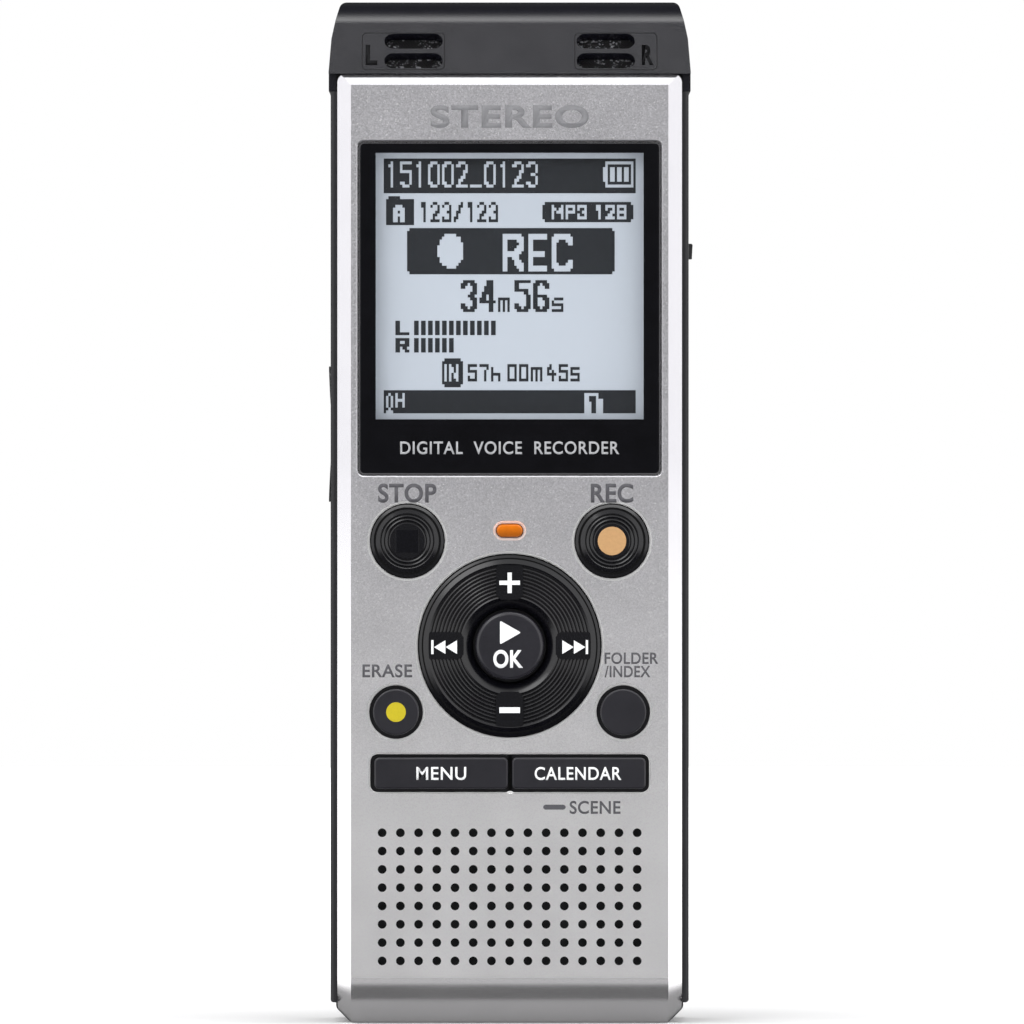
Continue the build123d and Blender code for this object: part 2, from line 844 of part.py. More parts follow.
with BuildPart() as mic_mesh:
    with BuildSketch(slant_plane.offset(-cap_wall - 0.18)):
        with Locations((-mic_x, up_the_slant(106.1)), (mic_x, up_the_slant(106.1))):
            Rectangle(8.4, 4.6)
    extrude(amount=0.12)
save(mic_mesh.part, "mic_mesh")

mic_capsule_z = 105.9


def microphone(x):
    """Electret capsule that faces the slots: can, felt recess and two solder pins."""
    with BuildPart() as capsule:
        with BuildSketch(face_plane(1.0)):
            with Locations((x, mic_capsule_z)):
                Circle(3.0)
        extrude(amount=2.7)
        with BuildSketch(face_plane(-1.6)):
            with Locations((x, mic_capsule_z)):
                Circle(2.3)
        extrude(amount=1, mode=Mode.SUBTRACT)
        with BuildSketch(face_plane(1.9)):
            with Locations((x, mic_capsule_z - 1.2), (x, mic_capsule_z + 1.2)):
                Circle(0.3)
        extrude(amount=0.95)
    return capsule.part


def microphone_boot(x):
    """Rubber holder that stands on the top of the rear cover and grips the capsule."""
    with BuildPart() as boot:
        with BuildSketch(face_plane(1.3)):
            with Locations((x, mic_capsule_z)):
                Circle(3.7)
            with Locations((x, (mic_capsule_z + rear_top + 0.05) / 2)):
                Rectangle(7.4, mic_capsule_z - rear_top - 0.05)
        extrude(amount=3.5)
        with BuildSketch(face_plane(1.02)):
            with Locations((x, mic_capsule_z)):
                Circle(3.02)
        extrude(amount=5, mode=Mode.SUBTRACT)
        with BuildSketch(face_plane(2)):
            with Locations((x, mic_capsule_z - 1.2), (x, mic_capsule_z + 1.2)):
                Circle(0.4)
        extrude(amount=2, mode=Mode.SUBTRACT)
    return boot.part


save(microphone(-mic_x), "left_microphone")
save(microphone(mic_x), "right_microphone")
save(microphone_boot(-mic_x), "left_mic_boot")
save(microphone_boot(mic_x), "right_mic_boot")


# ---------------------------------------------------------------- rear cover
door_top = door_axis_z + door_thickness / 2
stand_top = stand_axis_z + stand_thickness / 2
pocket_floor_y = 6.95
lever_slot_half = 3.0
lever_slot_bottom = 1.6
lever_slot_top = 26.0

with BuildPart() as rear_cover:
    # Outside: plan first, then the front view with the narrower foot
    with BuildSketch(Plane.XY) as rear_plan:
        with Locations((0, (rail_front_y + back_y) / 2)):
            Rectangle(body_width, back_y - rail_front_y)
        fillet(rear_plan.vertices().group_by(Axis.Y)[-1], back_corner_radius)
        fillet(rear_plan.vertices().group_by(Axis.Y)[0], 0.4)
    extrude(amount=rear_top)
    with BuildSketch(face_plane(12)) as rear_front:
        with Locations((0, (rear_top + foot_height) / 2)):
            Rectangle(body_width, rear_top - foot_height)
        fillet(rear_front.vertices().group_by(Axis.Y)[0], 0.35)
        with Locations((0, foot_height)):
            Rectangle(2 * foot_half, 2 * foot_height)
        chamfer(rear_front.vertices().group_by(Axis.Y)[0], foot_corner)
        fillet(rear_front.vertices().filter_by(lambda v: abs(v.Y) < foot_corner + 0.01), 0.8)
    extrude(amount=24, mode=Mode.INTERSECT)
    # Bevel along the back's bottom edge
    with BuildSketch(Plane.YZ):
        Polygon(
            (-10, -1), (back_y - 0.7, -1), (back_y - 0.7, 0), (back_y, 0.7), (back_y, rear_top + 1), (-10, rear_top + 1),
            align=None,
        )
    extrude(amount=30, both=True, mode=Mode.INTERSECT)
    # Inside
    with BuildSketch(Plane.XY.offset(-1)):
        with Locations((0, (foot_front_y - 8) / 2)):
            Rectangle(2 * rail_inner_half, foot_front_y + 8)
    extrude(amount=rear_top + 2, mode=Mode.SUBTRACT)
    with BuildSketch(Plane.XY.offset(-1)):
        with Locations((0, (foot_front_y - 8) / 2)):
            Rectangle(body_width + 2, foot_front_y + 8)
    extrude(amount=1 + foot_height, mode=Mode.SUBTRACT)
    with BuildSketch(Plane.XY.offset(rear_wall)) as cavity:
        with Locations((0, (rear_inner_y - 5) / 2)):
            Rectangle(2 * rear_inner_half, rear_inner_y + 5)
        fillet(cavity.vertices().group_by(Axis.Y)[-1], 1.2)
    extrude(amount=rear_top - 2 * rear_wall, mode=Mode.SUBTRACT)
    # Posts for the case screws, with room for the driver
    with BuildSketch(face_plane(rear_inner_y + 0.2)):
        with Locations(*case_screw_places):
            Circle(2.4)
    extrude(amount=rear_inner_y + 0.2 - foot_front_y)
    with BuildSketch(face_plane(back_y)):
        with Locations(*case_screw_places):
            Circle(1.75)
    extrude(amount=back_y - 3.0, mode=Mode.SUBTRACT)
    with BuildSketch(face_plane(3.5)):
        with Locations(*case_screw_places):
            Circle(0.95)
    extrude(amount=8, mode=Mode.SUBTRACT)
    # Thicker wall round the stand's pocket
    with BuildSketch(face_plane(rear_inner_y + 0.1)):
        with Locations((0, (stand_bottom + stand_top) / 2)):
            Rectangle(2 * stand_half + 3.4, stand_top - stand_bottom + 2.6)
    extrude(amount=rear_inner_y + 0.1 - pocket_floor_y + 0.8)
    with BuildSketch(face_plane(back_y + 1)):
        with Locations((0, (stand_bottom + stand_top) / 2)):
            Rectangle(2 * stand_half + 0.5, stand_top - stand_bottom + 0.5)
    extrude(amount=back_y + 1 - pocket_floor_y, mode=Mode.SUBTRACT)
    with BuildSketch(Plane.YZ):
        with Locations((stand_axis_y, stand_axis_z)):
            Circle(0.55)
    extrude(amount=stand_half + 1.25, both=True, mode=Mode.SUBTRACT)
    # Finger notch below the stand
    with BuildSketch(face_plane(back_y + 1)):
        with Locations((0, stand_bottom - 0.3)):
            SlotOverall(7.0, 3.0)
    extrude(amount=1.75, mode=Mode.SUBTRACT)
    # Opening for the battery cover, with the two hinge holes
    with BuildSketch(face_plane(back_y + 1)):
        with Locations((0, (door_bottom + door_top) / 2)):
            Rectangle(2 * door_half + 0.4, door_top - door_bottom + 0.4)
    extrude(amount=3, mode=Mode.SUBTRACT)
    with BuildSketch(Plane.YZ):
        with Locations((door_axis_y, door_axis_z)):
            Circle(0.42)
    extrude(amount=door_half + 1.1, both=True, mode=Mode.SUBTRACT)
    # Slot for the USB lever, and the mouth for the plug
    with BuildSketch(face_plane(back_y + 1)):
        with Locations((0, (lever_slot_bottom + lever_slot_top) / 2)):
            RectangleRounded(2 * lever_slot_half, lever_slot_top - lever_slot_bottom, 0.3)
    extrude(amount=3, mode=Mode.SUBTRACT)
    with BuildSketch(Plane.XY.offset(-1)):
        with Locations((0, usb_y)):
            RectangleRounded(usb_width + 0.6, usb_height + 0.6, 0.5)
    extrude(amount=3, mode=Mode.SUBTRACT)
    # Guides on both sides of the carriage
    for side in (-1, 1):
        with BuildSketch(Plane.XY.offset(rear_wall - 0.1)):
            with BuildLine():
                Polyline(
                    (side * 8.3, rear_inner_y + 0.1),
                    (side * 9.5, rear_inner_y + 0.1),
                    (side * 9.5, -0.6),
                    (side * 6.9, -0.6),
                    (side * 6.9, 0.1),
                    (side * 8.3, 0.1),
                    close=True,
                )
            make_face()
        extrude(amount=25.6)
    # Left wall: holes for the jack collars, and the card opening
    with BuildSketch(Plane.YZ.offset(-half_width - 1)):
        with Locations(*[(jack_y, z) for z in jack_zs.values()]):
            Circle(jack_collar_radius + 0.07)
        with Locations((-1.85, card_z)):
            Rectangle(3.3, 14.6)
    extrude(amount=3, mode=Mode.SUBTRACT)
    with BuildSketch(Plane.XY.offset(card_z - 8.1)):
        with Locations((-19.0, -0.95)):
            Circle(0.32)
    extrude(amount=16.2, mode=Mode.SUBTRACT)
    # Right wall: slot for the hold switch
    with BuildSketch(Plane.YZ.offset(half_width + 1)):
        with Locations((hold_y, hold_z)):
            Rectangle(3.5, 1.65 + 2 * hold_travel + 0.4)
    extrude(amount=-3, mode=Mode.SUBTRACT)
save(rear_cover.part, "rear_cover")


# ---------------------------------------------------------------- batteries and their bay
with BuildPart() as battery_tray:
    bay_x = (bay_left + bay_right) / 2
    bay_z = (bay_bottom + bay_top) / 2
    bay_w = bay_right - bay_left
    bay_h = bay_top - bay_bottom
    with BuildSketch(face_plane(6.9)):
        with Locations((bay_x, bay_z)):
            RectangleRounded(bay_w + 1.2, bay_h + 1.2, 0.5)
    extrude(amount=6.9 + 3.55)
    with BuildSketch(face_plane(9)):
        with Locations((bay_x, bay_z)):
            Rectangle(bay_w, bay_h)
    extrude(amount=9 + 2.95, mode=Mode.SUBTRACT)
    # Low rib between the two cells
    with BuildSketch(face_plane(-1.0)):
        with Locations(((battery_xs[0] + battery_xs[1]) / 2, bay_z)):
            Rectangle(1.2, 40)
    extrude(amount=1.96)
save(battery_tray.part, "battery_tray")


def battery(x, bottom, turned):
    """A cylindrical cell with its raised contact; a turned one has the contact below."""
    with BuildPart() as cell:
        with Locations((x, battery_y, bottom)):
            Cylinder(battery_radius, battery_length, align=(Align.CENTER, Align.CENTER, Align.MIN))
        chamfer(cell.edges().filter_by(GeomType.CIRCLE), 0.35)
        contact_z = bottom - 0.9 if turned else bottom + battery_length
        with Locations((x, battery_y, contact_z)):
            Cylinder(1.9, 0.9, align=(Align.CENTER, Align.CENTER, Align.MIN))
    return cell.part


left_bottom = bay_bottom + 2.3
right_bottom = bay_bottom + 0.3 + 0.95
save(battery(battery_xs[0], left_bottom, False), "battery_left")
save(battery(battery_xs[1], right_bottom, True), "battery_right")

with BuildPart() as battery_bridge_plate:
    # One plate joins both cells at the bottom of the bay.
    with Locations(((battery_xs[0] + battery_xs[1]) / 2, battery_y, bay_bottom + 0.02)):
        Box(19.6, 8.4, 0.25, align=(Align.CENTER, Align.CENTER, Align.MIN))
save(battery_bridge_plate.part, "battery_bridge_plate")

with BuildPart() as battery_terminals:
    # Separate plates at the top of the bay
    for x in battery_xs:
        with Locations((x, battery_y, bay_top - 0.27)):
            Box(8.2, 8.4, 0.25, align=(Align.CENTER, Align.CENTER, Align.MIN))
save(battery_terminals.part, "battery_terminals")


def spring(x, from_z, to_z):
    """A conical contact spring between a plate and the flat end of a cell."""
    wire = 0.22
    direction = 1 if to_z > from_z else -1
    height = abs(to_z - from_z) - 2 * wire - 0.04
    start = from_z + direction * (wire + 0.02)
    turns = 2.5
    with BuildPart() as coil:
        with BuildLine() as path:
            Helix(
                pitch=height / turns,
                height=height,
                radius=3.4,
                center=(x, battery_y, start),
                direction=(0, 0, direction),
                cone_angle=-20,
            )
        with BuildSketch(Plane(origin=path.line @ 0, z_dir=path.line % 0)):
            Circle(wire)
        sweep(is_frenet=True)
    return coil.part


left_spring = spring(battery_xs[0], bay_bottom + 0.27, left_bottom)
right_spring = spring(battery_xs[1], bay_top - 0.27, right_bottom + battery_length)
save(Compound(children=[left_spring, right_spring]), "battery_springs")

with BuildPart() as battery_cover:
    with BuildSketch(Plane.YZ):
        with BuildLine():
            Polyline(
                (door_axis_y - door_thickness / 2, door_axis_z),
                (door_axis_y - door_thickness / 2, door_bottom),
                (door_axis_y + door_thickness / 2, door_bottom),
                (door_axis_y + door_thickness / 2, door_axis_z),
            )
            ThreePointArc(
                (door_axis_y + door_thickness / 2, door_axis_z),
                (door_axis_y, door_top),
                (door_axis_y - door_thickness / 2, door_axis_z),
            )
        make_face()
    extrude(amount=door_half, both=True)
    # Stub pins of the hinge
    with BuildSketch(Plane.YZ):
        with Locations((door_axis_y, door_axis_z)):
            Circle(0.38)
    extrude(amount=door_half + 0.95, both=True)
    # Fine grip ribs by the free end
    for rib in range(6):
        with BuildSketch(face_plane(back_y)):
            with Locations((0, door_bottom + 2.2 + rib * 0.8)):
                SlotOverall(11.0 - rib * 1.2, 0.36)
        extrude(amount=0.16, mode=Mode.SUBTRACT)
save(battery_cover.part, "battery_cover")


# ---------------------------------------------------------------- stand
with BuildPart() as stand:
    with BuildSketch(Plane.YZ):
        with BuildLine():
            half_thickness = stand_thickness / 2
            Polyline(
                (stand_axis_y - half_thickness, stand_axis_z),
                (stand_axis_y - half_thickness, stand_bottom),
                (stand_axis_y + half_thickness, stand_bottom),
                (stand_axis_y + half_thickness, stand_axis_z),
            )
            ThreePointArc(
                (stand_axis_y + half_thickness, stand_axis_z),
                (stand_axis_y, stand_top),
                (stand_axis_y - half_thickness, stand_axis_z),
            )
        make_face()
    extrude(amount=stand_half, both=True)
    # Shallow recess that lightens the leg
    with BuildSketch(face_plane(stand_axis_y + half_thickness)):
        with Locations((0, 89.4)):
            RectangleRounded(11.0, 7.6, 1.0)
    extrude(amount=0.5, mode=Mode.SUBTRACT)
    with BuildSketch(Plane.YZ):
        with Locations((stand_axis_y, stand_axis_z)):
            Circle(0.5)
    extrude(amount=stand_half + 1.1, both=True)
save(stand.part, "stand")


# ---------------------------------------------------------------- USB plug, carriage and lever
carriage_bottom = 20.2
carriage_top = 25.6

with BuildPart() as usb_shell:
    with BuildSketch(Plane.XY.offset(usb_bottom)):
        with Locations((0, usb_y)):
            RectangleRounded(usb_width, usb_height, 0.35)
            RectangleRounded(usb_width - 0.6, usb_height - 0.6, 0.2, mode=Mode.SUBTRACT)
    extrude(amount=carriage_bottom + 1.6 - usb_bottom)
    # The two square windows on the front and on the back
    with BuildSketch(face_plane(12)):
        with Locations((-2.9, usb_bottom + 6.4), (2.9, usb_bottom + 6.4)):
            Rectangle(2.5, 2.0)
    extrude(amount=20, mode=Mode.SUBTRACT)
save(usb_shell.part, "usb_shell")

with BuildPart() as usb_tongue:
    with Locations((0, usb_y - 1.0, usb_bottom + 0.9)):
        Box(11.2, 1.8, carriage_bottom - usb_bottom - 0.95, align=(Align.CENTER, Align.CENTER, Align.MIN))
save(usb_tongue.part, "usb_tongue")

with BuildPart() as usb_contacts:
    for contact_x, contact_length in ((-3.5, 8.6), (-1.0, 7.6), (1.0, 7.6), (3.5, 8.6)):
        with Locations((contact_x, usb_y - 0.1 + 0.02, usb_bottom + 10.2)):
            Box(1.0, 0.16, contact_length, align=(Align.CENTER, Align.MIN, Align.MAX))
save(usb_contacts.part, "usb_contacts")

with BuildPart() as usb_carriage:
    with BuildSketch(Plane.XY.offset(carriage_bottom)):
        with Locations((0, (0.4 + 7.4) / 2)):
            RectangleRounded(16.0, 7.0, 0.4)
    extrude(amount=carriage_top - carriage_bottom)
    # Seat for the plug
    with BuildSketch(Plane.XY.offset(carriage_bottom - 1)):
        with Locations((0, usb_y)):
            RectangleRounded(usb_width + 0.04, usb_height + 0.04, 0.33)
            RectangleRounded(usb_width - 0.64, usb_height - 0.64, 0.25, mode=Mode.SUBTRACT)
    extrude(amount=1 + 1.65, mode=Mode.SUBTRACT)
    # Groove for the lever's foot
    with BuildSketch(Plane.XY.offset(carriage_bottom + 1.2)):
        with Locations((0, 7.4)):
            Rectangle(5.04, 2.0)
    extrude(amount=3.2, mode=Mode.SUBTRACT)
save(usb_carriage.part, "usb_carriage")

with BuildPart() as usb_lever:
    lever_middle = carriage_bottom + 1.2 + 1.6
    with Locations((0, 6.42, lever_middle)):
        Box(5.0, 8.75 - 6.42, 3.16, align=(Align.CENTER, Align.MIN, Align.CENTER))
    with Locations((0, 7.75, lever_middle)):
        Box(5.4, 1.0, 5.2, align=(Align.CENTER, Align.MIN, Align.CENTER))
    for rib in range(5):
        with Locations((0, 8.75, lever_middle - 2.0 + rib)):
            Box(4.6, 0.3, 0.45, align=(Align.CENTER, Align.MAX, Align.CENTER), mode=Mode.SUBTRACT)
save(usb_lever.part, "usb_lever")


# ---------------------------------------------------------------- side controls
def jack(z, thick_end):
    """A 3.5 mm jack: body on the board, and a collar with a slanted lip through the wall."""
    with BuildPart() as socket:
        with Locations((-18.1, jack_y, z)):
            Box(13.0, 5.7, 5.2, align=(Align.MIN, Align.CENTER, Align.CENTER))
        chamfer(socket.edges().filter_by(Axis.X), 0.3)
        with BuildSketch(Plane.YZ.offset(-18.0)):
            with Locations((jack_y, z)):
                Circle(jack_collar_radius)
        extrude(amount=-(half_width + jack_proud - 18.0))
        # The lip slants down to the wall's face.
        with BuildSketch(Plane.XZ.offset(-6)):
            with BuildLine():
                Polyline(
                    (-half_width - jack_proud, z + thick_end * 2.7),
                    (-half_width - 0.02, z - thick_end * 2.7),
                    (-half_width - 1, z - thick_end * 2.7),
                    (-half_width - 1, z + thick_end * 2.7),
                    close=True,
                )
            make_face()
        extrude(amount=12, mode=Mode.SUBTRACT)
        with BuildSketch(Plane.YZ.offset(-half_width - 1)):
            with Locations((jack_y, z)):
                Circle(jack_bore_radius)
        extrude(amount=1 + jack_depth - 0.3, mode=Mode.SUBTRACT)
    return socket.part


save(jack(jack_zs["microphone_jack"], 1), "microphone_jack")
save(jack(jack_zs["earphone_jack"], -1), "earphone_jack")

with BuildPart() as hold_knob:
    plate_half = 1.65 / 2 + 2 * hold_travel + 0.5
    with Locations((17.45, hold_y, hold_z)):
        Box(0.6, 5.0, 2 * plate_half, align=(Align.MIN, Align.CENTER, Align.CENTER))
    # The nub leans out a little towards its upper end.
    with BuildSketch(Plane.XZ.offset(-hold_y - 1.55)):
        with BuildLine():
            Polyline(
                (17.9, hold_z - 0.825),
                (19.92, hold_z - 0.825),
                (20.0, hold_z + 0.7),
                (19.88, hold_z + 0.825),
                (17.9, hold_z + 0.825),
                close=True,
            )
        make_face()
    extrude(amount=3.1)
    with Locations((15.9, hold_y - 1.2, hold_z)):
        Box(1.7, 0.9, 0.9, align=(Align.MIN, Align.CENTER, Align.CENTER))
save(hold_knob.part, "hold_knob")

with BuildPart() as hold_switch_body:
    with Locations((13.6, board_back_y + 0.02, hold_z)):
        Box(3.1, 3.0, 6.6, align=(Align.MIN, Align.MIN, Align.CENTER))
    with Locations((15.6, hold_y - 1.2, hold_z)):
        Box(2.0, 1.5, 4.5, align=(Align.MIN, Align.CENTER, Align.CENTER), mode=Mode.SUBTRACT)
save(hold_switch_body.part, "hold_switch_body")


# ---------------------------------------------------------------- memory card
with BuildPart() as card_socket:
    with Locations((-17.0, board_back_y + 0.02, card_z)):
        Box(14.0, 1.9, 12.6, align=(Align.MIN, Align.MIN, Align.CENTER))
    with Locations((-17.1, board_back_y + 0.25, card_z)):
        Box(13.8, 1.3, 11.2, align=(Align.MIN, Align.MIN, Align.CENTER), mode=Mode.SUBTRACT)
save(card_socket.part, "card_socket")

with BuildPart() as memory_card:
    with BuildSketch(face_plane(board_back_y + 1.4)):
        with Locations((-18.0 + 7.2, card_z)):
            RectangleRounded(14.2, 11.0, 0.6)
        with Locations((-18.0 + 4.5, card_z + 5.5)):
            Rectangle(2.2, 1.0, mode=Mode.SUBTRACT)
    extrude(amount=0.9)
save(memory_card.part, "memory_card")

with BuildPart() as card_cover:
    # The flap turns about its back edge, which is rounded.
    with BuildSketch(Plane.XY.offset(card_z - 7.1)):
        with BuildLine():
            Polyline((-18.5, -0.95), (-18.5, -3.35), (-19.5, -3.35), (-19.5, -0.95))
            ThreePointArc((-19.5, -0.95), (-19.0, -0.45), (-18.5, -0.95))
        make_face()
    extrude(amount=14.2)
    with BuildSketch(Plane.XY.offset(card_z - 7.9)):
        with Locations((-19.0, -0.95)):
            Circle(0.28)
    extrude(amount=15.8)
save(card_cover.part, "card_cover")
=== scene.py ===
"""Looks of the handheld recorder: materials, printed legends, display picture, studio and camera.

The frame is the CAD model's: metres, X to the right of the display, -Y out of the display, Z up.
"""

import math

import bmesh
import bpy
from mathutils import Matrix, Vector


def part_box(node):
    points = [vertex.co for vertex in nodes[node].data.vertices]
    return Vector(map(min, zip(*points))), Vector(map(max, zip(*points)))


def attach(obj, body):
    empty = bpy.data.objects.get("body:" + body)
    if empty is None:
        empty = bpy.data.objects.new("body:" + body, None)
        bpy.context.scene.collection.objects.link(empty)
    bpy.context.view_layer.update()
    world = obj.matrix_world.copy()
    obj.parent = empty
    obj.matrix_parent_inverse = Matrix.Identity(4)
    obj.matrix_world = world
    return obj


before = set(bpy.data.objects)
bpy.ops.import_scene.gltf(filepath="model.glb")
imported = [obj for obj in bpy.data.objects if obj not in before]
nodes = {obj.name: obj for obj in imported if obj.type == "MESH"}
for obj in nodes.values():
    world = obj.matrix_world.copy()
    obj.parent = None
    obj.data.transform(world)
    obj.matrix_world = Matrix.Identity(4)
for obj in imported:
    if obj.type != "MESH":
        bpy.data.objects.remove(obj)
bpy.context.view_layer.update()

MM = 0.001
FACE_Y = -9.0
KEY_Y = -9.45
RING_PAD_Y = -9.42
WINDOW_Y = -8.952
PRINT_GAP = 0.004
PRINT_THICKNESS = 0.012
# The second stroke of a cross stands a hair above the first, so their faces don't coincide
CROSSING_THICKNESS = 0.0125
ENGRAVED_THICKNESS = 0.008
# Where the bevelled lips of the key openings are, which get a painted highlight: depth, height and half width
LIP_Y = (-8.985, -8.66)
KEYPAD_Z = (23, 58)
KEYPAD_HALF_WIDTH = 16.9
# The clear view in the display window
VIEW_HALF_WIDTH = 14.57
VIEW_Z = (65.78, 94.77)
LAMP_Z = 53.67
# The dots of the display
CELL_WIDTH = 0.254
CELL_HEIGHT = 0.3152
# The slanted face of the microphone cap: a point at its foot (depth, height), and depth gained per height
SLANT_FOOT = (-8.2, 103.39)
SLANT_LEAN = 3.7 / (109.0 - 103.39)


# ---------------------------------------------------------------- material helpers
class Look:
    """A Principled material with procedural detail added step by step. Sizes are in millimetres."""

    def __init__(self, name, colour, roughness=0.5, metallic=0.0, specular=0.5, coat=0.0, coat_roughness=0.1):
        self.mat = bpy.data.materials.new(name)
        self.mat.use_nodes = True
        self.tree = self.mat.node_tree
        self.shader = self.tree.nodes["Principled BSDF"]
        self.place = self.new("ShaderNodeTexCoord").outputs["Object"]
        shader = self.shader.inputs
        shader["Base Color"].default_value = (*colour, 1)
        shader["Roughness"].default_value = roughness
        shader["Metallic"].default_value = metallic
        shader["Specular IOR Level"].default_value = specular
        shader["Coat Weight"].default_value = coat
        shader["Coat Roughness"].default_value = coat_roughness
        self.colour = None
        self.flat = colour
        self.normal = None

    def new(self, kind, **settings):
        node = self.tree.nodes.new(kind)
        for key, value in settings.items():
            setattr(node, key, value)
        return node

    def link(self, out, into):
        self.tree.links.new(out, into)

    def noise(self, size, detail=3.0, stretch=(1, 1, 1), roughness=0.6):
        """Noise whose features are about `size` millimetres across."""
        mapping = self.new("ShaderNodeMapping")
        mapping.inputs["Scale"].default_value = stretch
        self.link(self.place, mapping.inputs["Vector"])
        texture = self.new("ShaderNodeTexNoise")
        texture.inputs["Scale"].default_value = 1 / (size * MM)
        texture.inputs["Detail"].default_value = detail
        texture.inputs["Roughness"].default_value = roughness
        self.link(mapping.outputs[0], texture.inputs["Vector"])
        return texture.outputs["Fac"]

    def cells(self, size):
        """Random cells about `size` millimetres across."""
        texture = self.new("ShaderNodeTexVoronoi")
        texture.inputs["Scale"].default_value = 1 / (size * MM)
        self.link(self.place, texture.inputs["Vector"])
        return texture

    def spread(self, value, low, high, from_low=0.3, from_high=0.7):
        ranged = self.new("ShaderNodeMapRange")
        ranged.inputs["From Min"].default_value = from_low
        ranged.inputs["From Max"].default_value = from_high
        ranged.inputs["To Min"].default_value = low
        ranged.inputs["To Max"].default_value = high
        self.link(value, ranged.inputs["Value"])
        return ranged.outputs[0]

    def maths(self, operation, a, b=0.0):
        node = self.new("ShaderNodeMath", operation=operation)
        for socket, value in zip(node.inputs, (a, b)):
            if isinstance(value, (int, float)):
                socket.default_value = value
            else:
                self.link(value, socket)
        return node.outputs[0]

    def mix_colour(self, factor, first, second):
        node = self.new("ShaderNodeMix", data_type="RGBA")
        for socket, value in ((node.inputs[0], factor), (node.inputs[6], first), (node.inputs[7], second)):
            if isinstance(value, tuple):
                socket.default_value = (*value, 1)
            elif isinstance(value, (int, float)):
                socket.default_value = value
            else:
                self.link(value, socket)
        return node.outputs[2]

    def shade(self, value, low, high, from_low=0.3, from_high=0.7):
        """Multiplies the colour by something between low and high, as the value says."""
        factor = self.spread(value, 0, 1, from_low, from_high)
        first = self.colour if self.colour is not None else self.flat
        dark = self.tint(first, low)
        light = self.tint(first, high)
        self.colour = self.mix_colour(factor, dark, light)
        self.link(self.colour, self.shader.inputs["Base Color"])
        return self

    def tint(self, colour, amount):
        if isinstance(colour, tuple):
            return tuple(min(1.0, c * amount) for c in colour)
        node = self.new("ShaderNodeMix", data_type="RGBA", blend_type="MULTIPLY")
        node.inputs[0].default_value = 1
        self.link(colour, node.inputs[6])
        node.inputs[7].default_value = (amount, amount, amount, 1)
        return node.outputs[2]

    def paint(self, factor, colour):
        """Lays another colour over the present one, where the factor is 1."""
        first = self.colour if self.colour is not None else self.flat
        self.colour = self.mix_colour(factor, first, colour)
        self.link(self.colour, self.shader.inputs["Base Color"])
        return self

    def gloss(self, value, low, high):
        self.link(self.spread(value, low, high), self.shader.inputs["Roughness"])
        return self

    def bump(self, value, height, strength=1.0):
        """Raises the surface by up to `height` millimetres."""
        node = self.new("ShaderNodeBump")
        node.inputs["Strength"].default_value = strength
        node.inputs["Distance"].default_value = height * MM
        self.link(value, node.inputs["Height"])
        if self.normal is not None:
            self.link(self.normal, node.inputs["Normal"])
        self.normal = node.outputs[0]
        self.link(self.normal, self.shader.inputs["Normal"])
        return self

    def axis(self, index):
        """Object coordinate along X, Y or Z, in metres."""
        split = self.new("ShaderNodeSeparateXYZ")
        self.link(self.place, split.inputs[0])
        return split.outputs[index]

    def between(self, value, low, high):
        """1 where low < value < high."""
        above = self.maths("GREATER_THAN", value, low)
        below = self.maths("LESS_THAN", value, high)
        return self.maths("MULTIPLY", above, below)


def plastic(name, colour, roughness=0.45, grain=0.12, height=0.006, specular=0.4, coat=0.0):
    """Moulded plastic: fine spark-eroded grain, uneven gloss, and a very slight drift of colour."""
    look = Look(name, colour, roughness, specular=specular, coat=coat)
    look.shade(look.noise(6.0), 0.9, 1.1)
    look.shade(look.noise(0.5), 0.94, 1.06)
    look.gloss(look.noise(3.0), roughness * 0.92, roughness * 1.08)
    look.bump(look.noise(grain, detail=2.0), height)
    return look


def ink(name, colour, roughness=0.55):
    """Screen-printed ink with slightly uneven cover."""
    look = Look(name, colour, roughness, specular=0.3)
    look.shade(look.noise(0.35), 0.93, 1.05)
    look.bump(look.noise(0.08), 0.002)
    return look


def metal(name, colour, roughness=0.3, stretch=(1, 1, 1), grain=0.3):
    """Bare or plated metal, brushed where the noise is stretched."""
    look = Look(name, colour, roughness, metallic=1.0)
    look.shade(look.noise(4.0), 0.92, 1.05)
    look.gloss(look.noise(grain, stretch=stretch), roughness - 0.1, roughness + 0.1)
    look.bump(look.noise(grain * 0.4, stretch=stretch), 0.002)
    return look


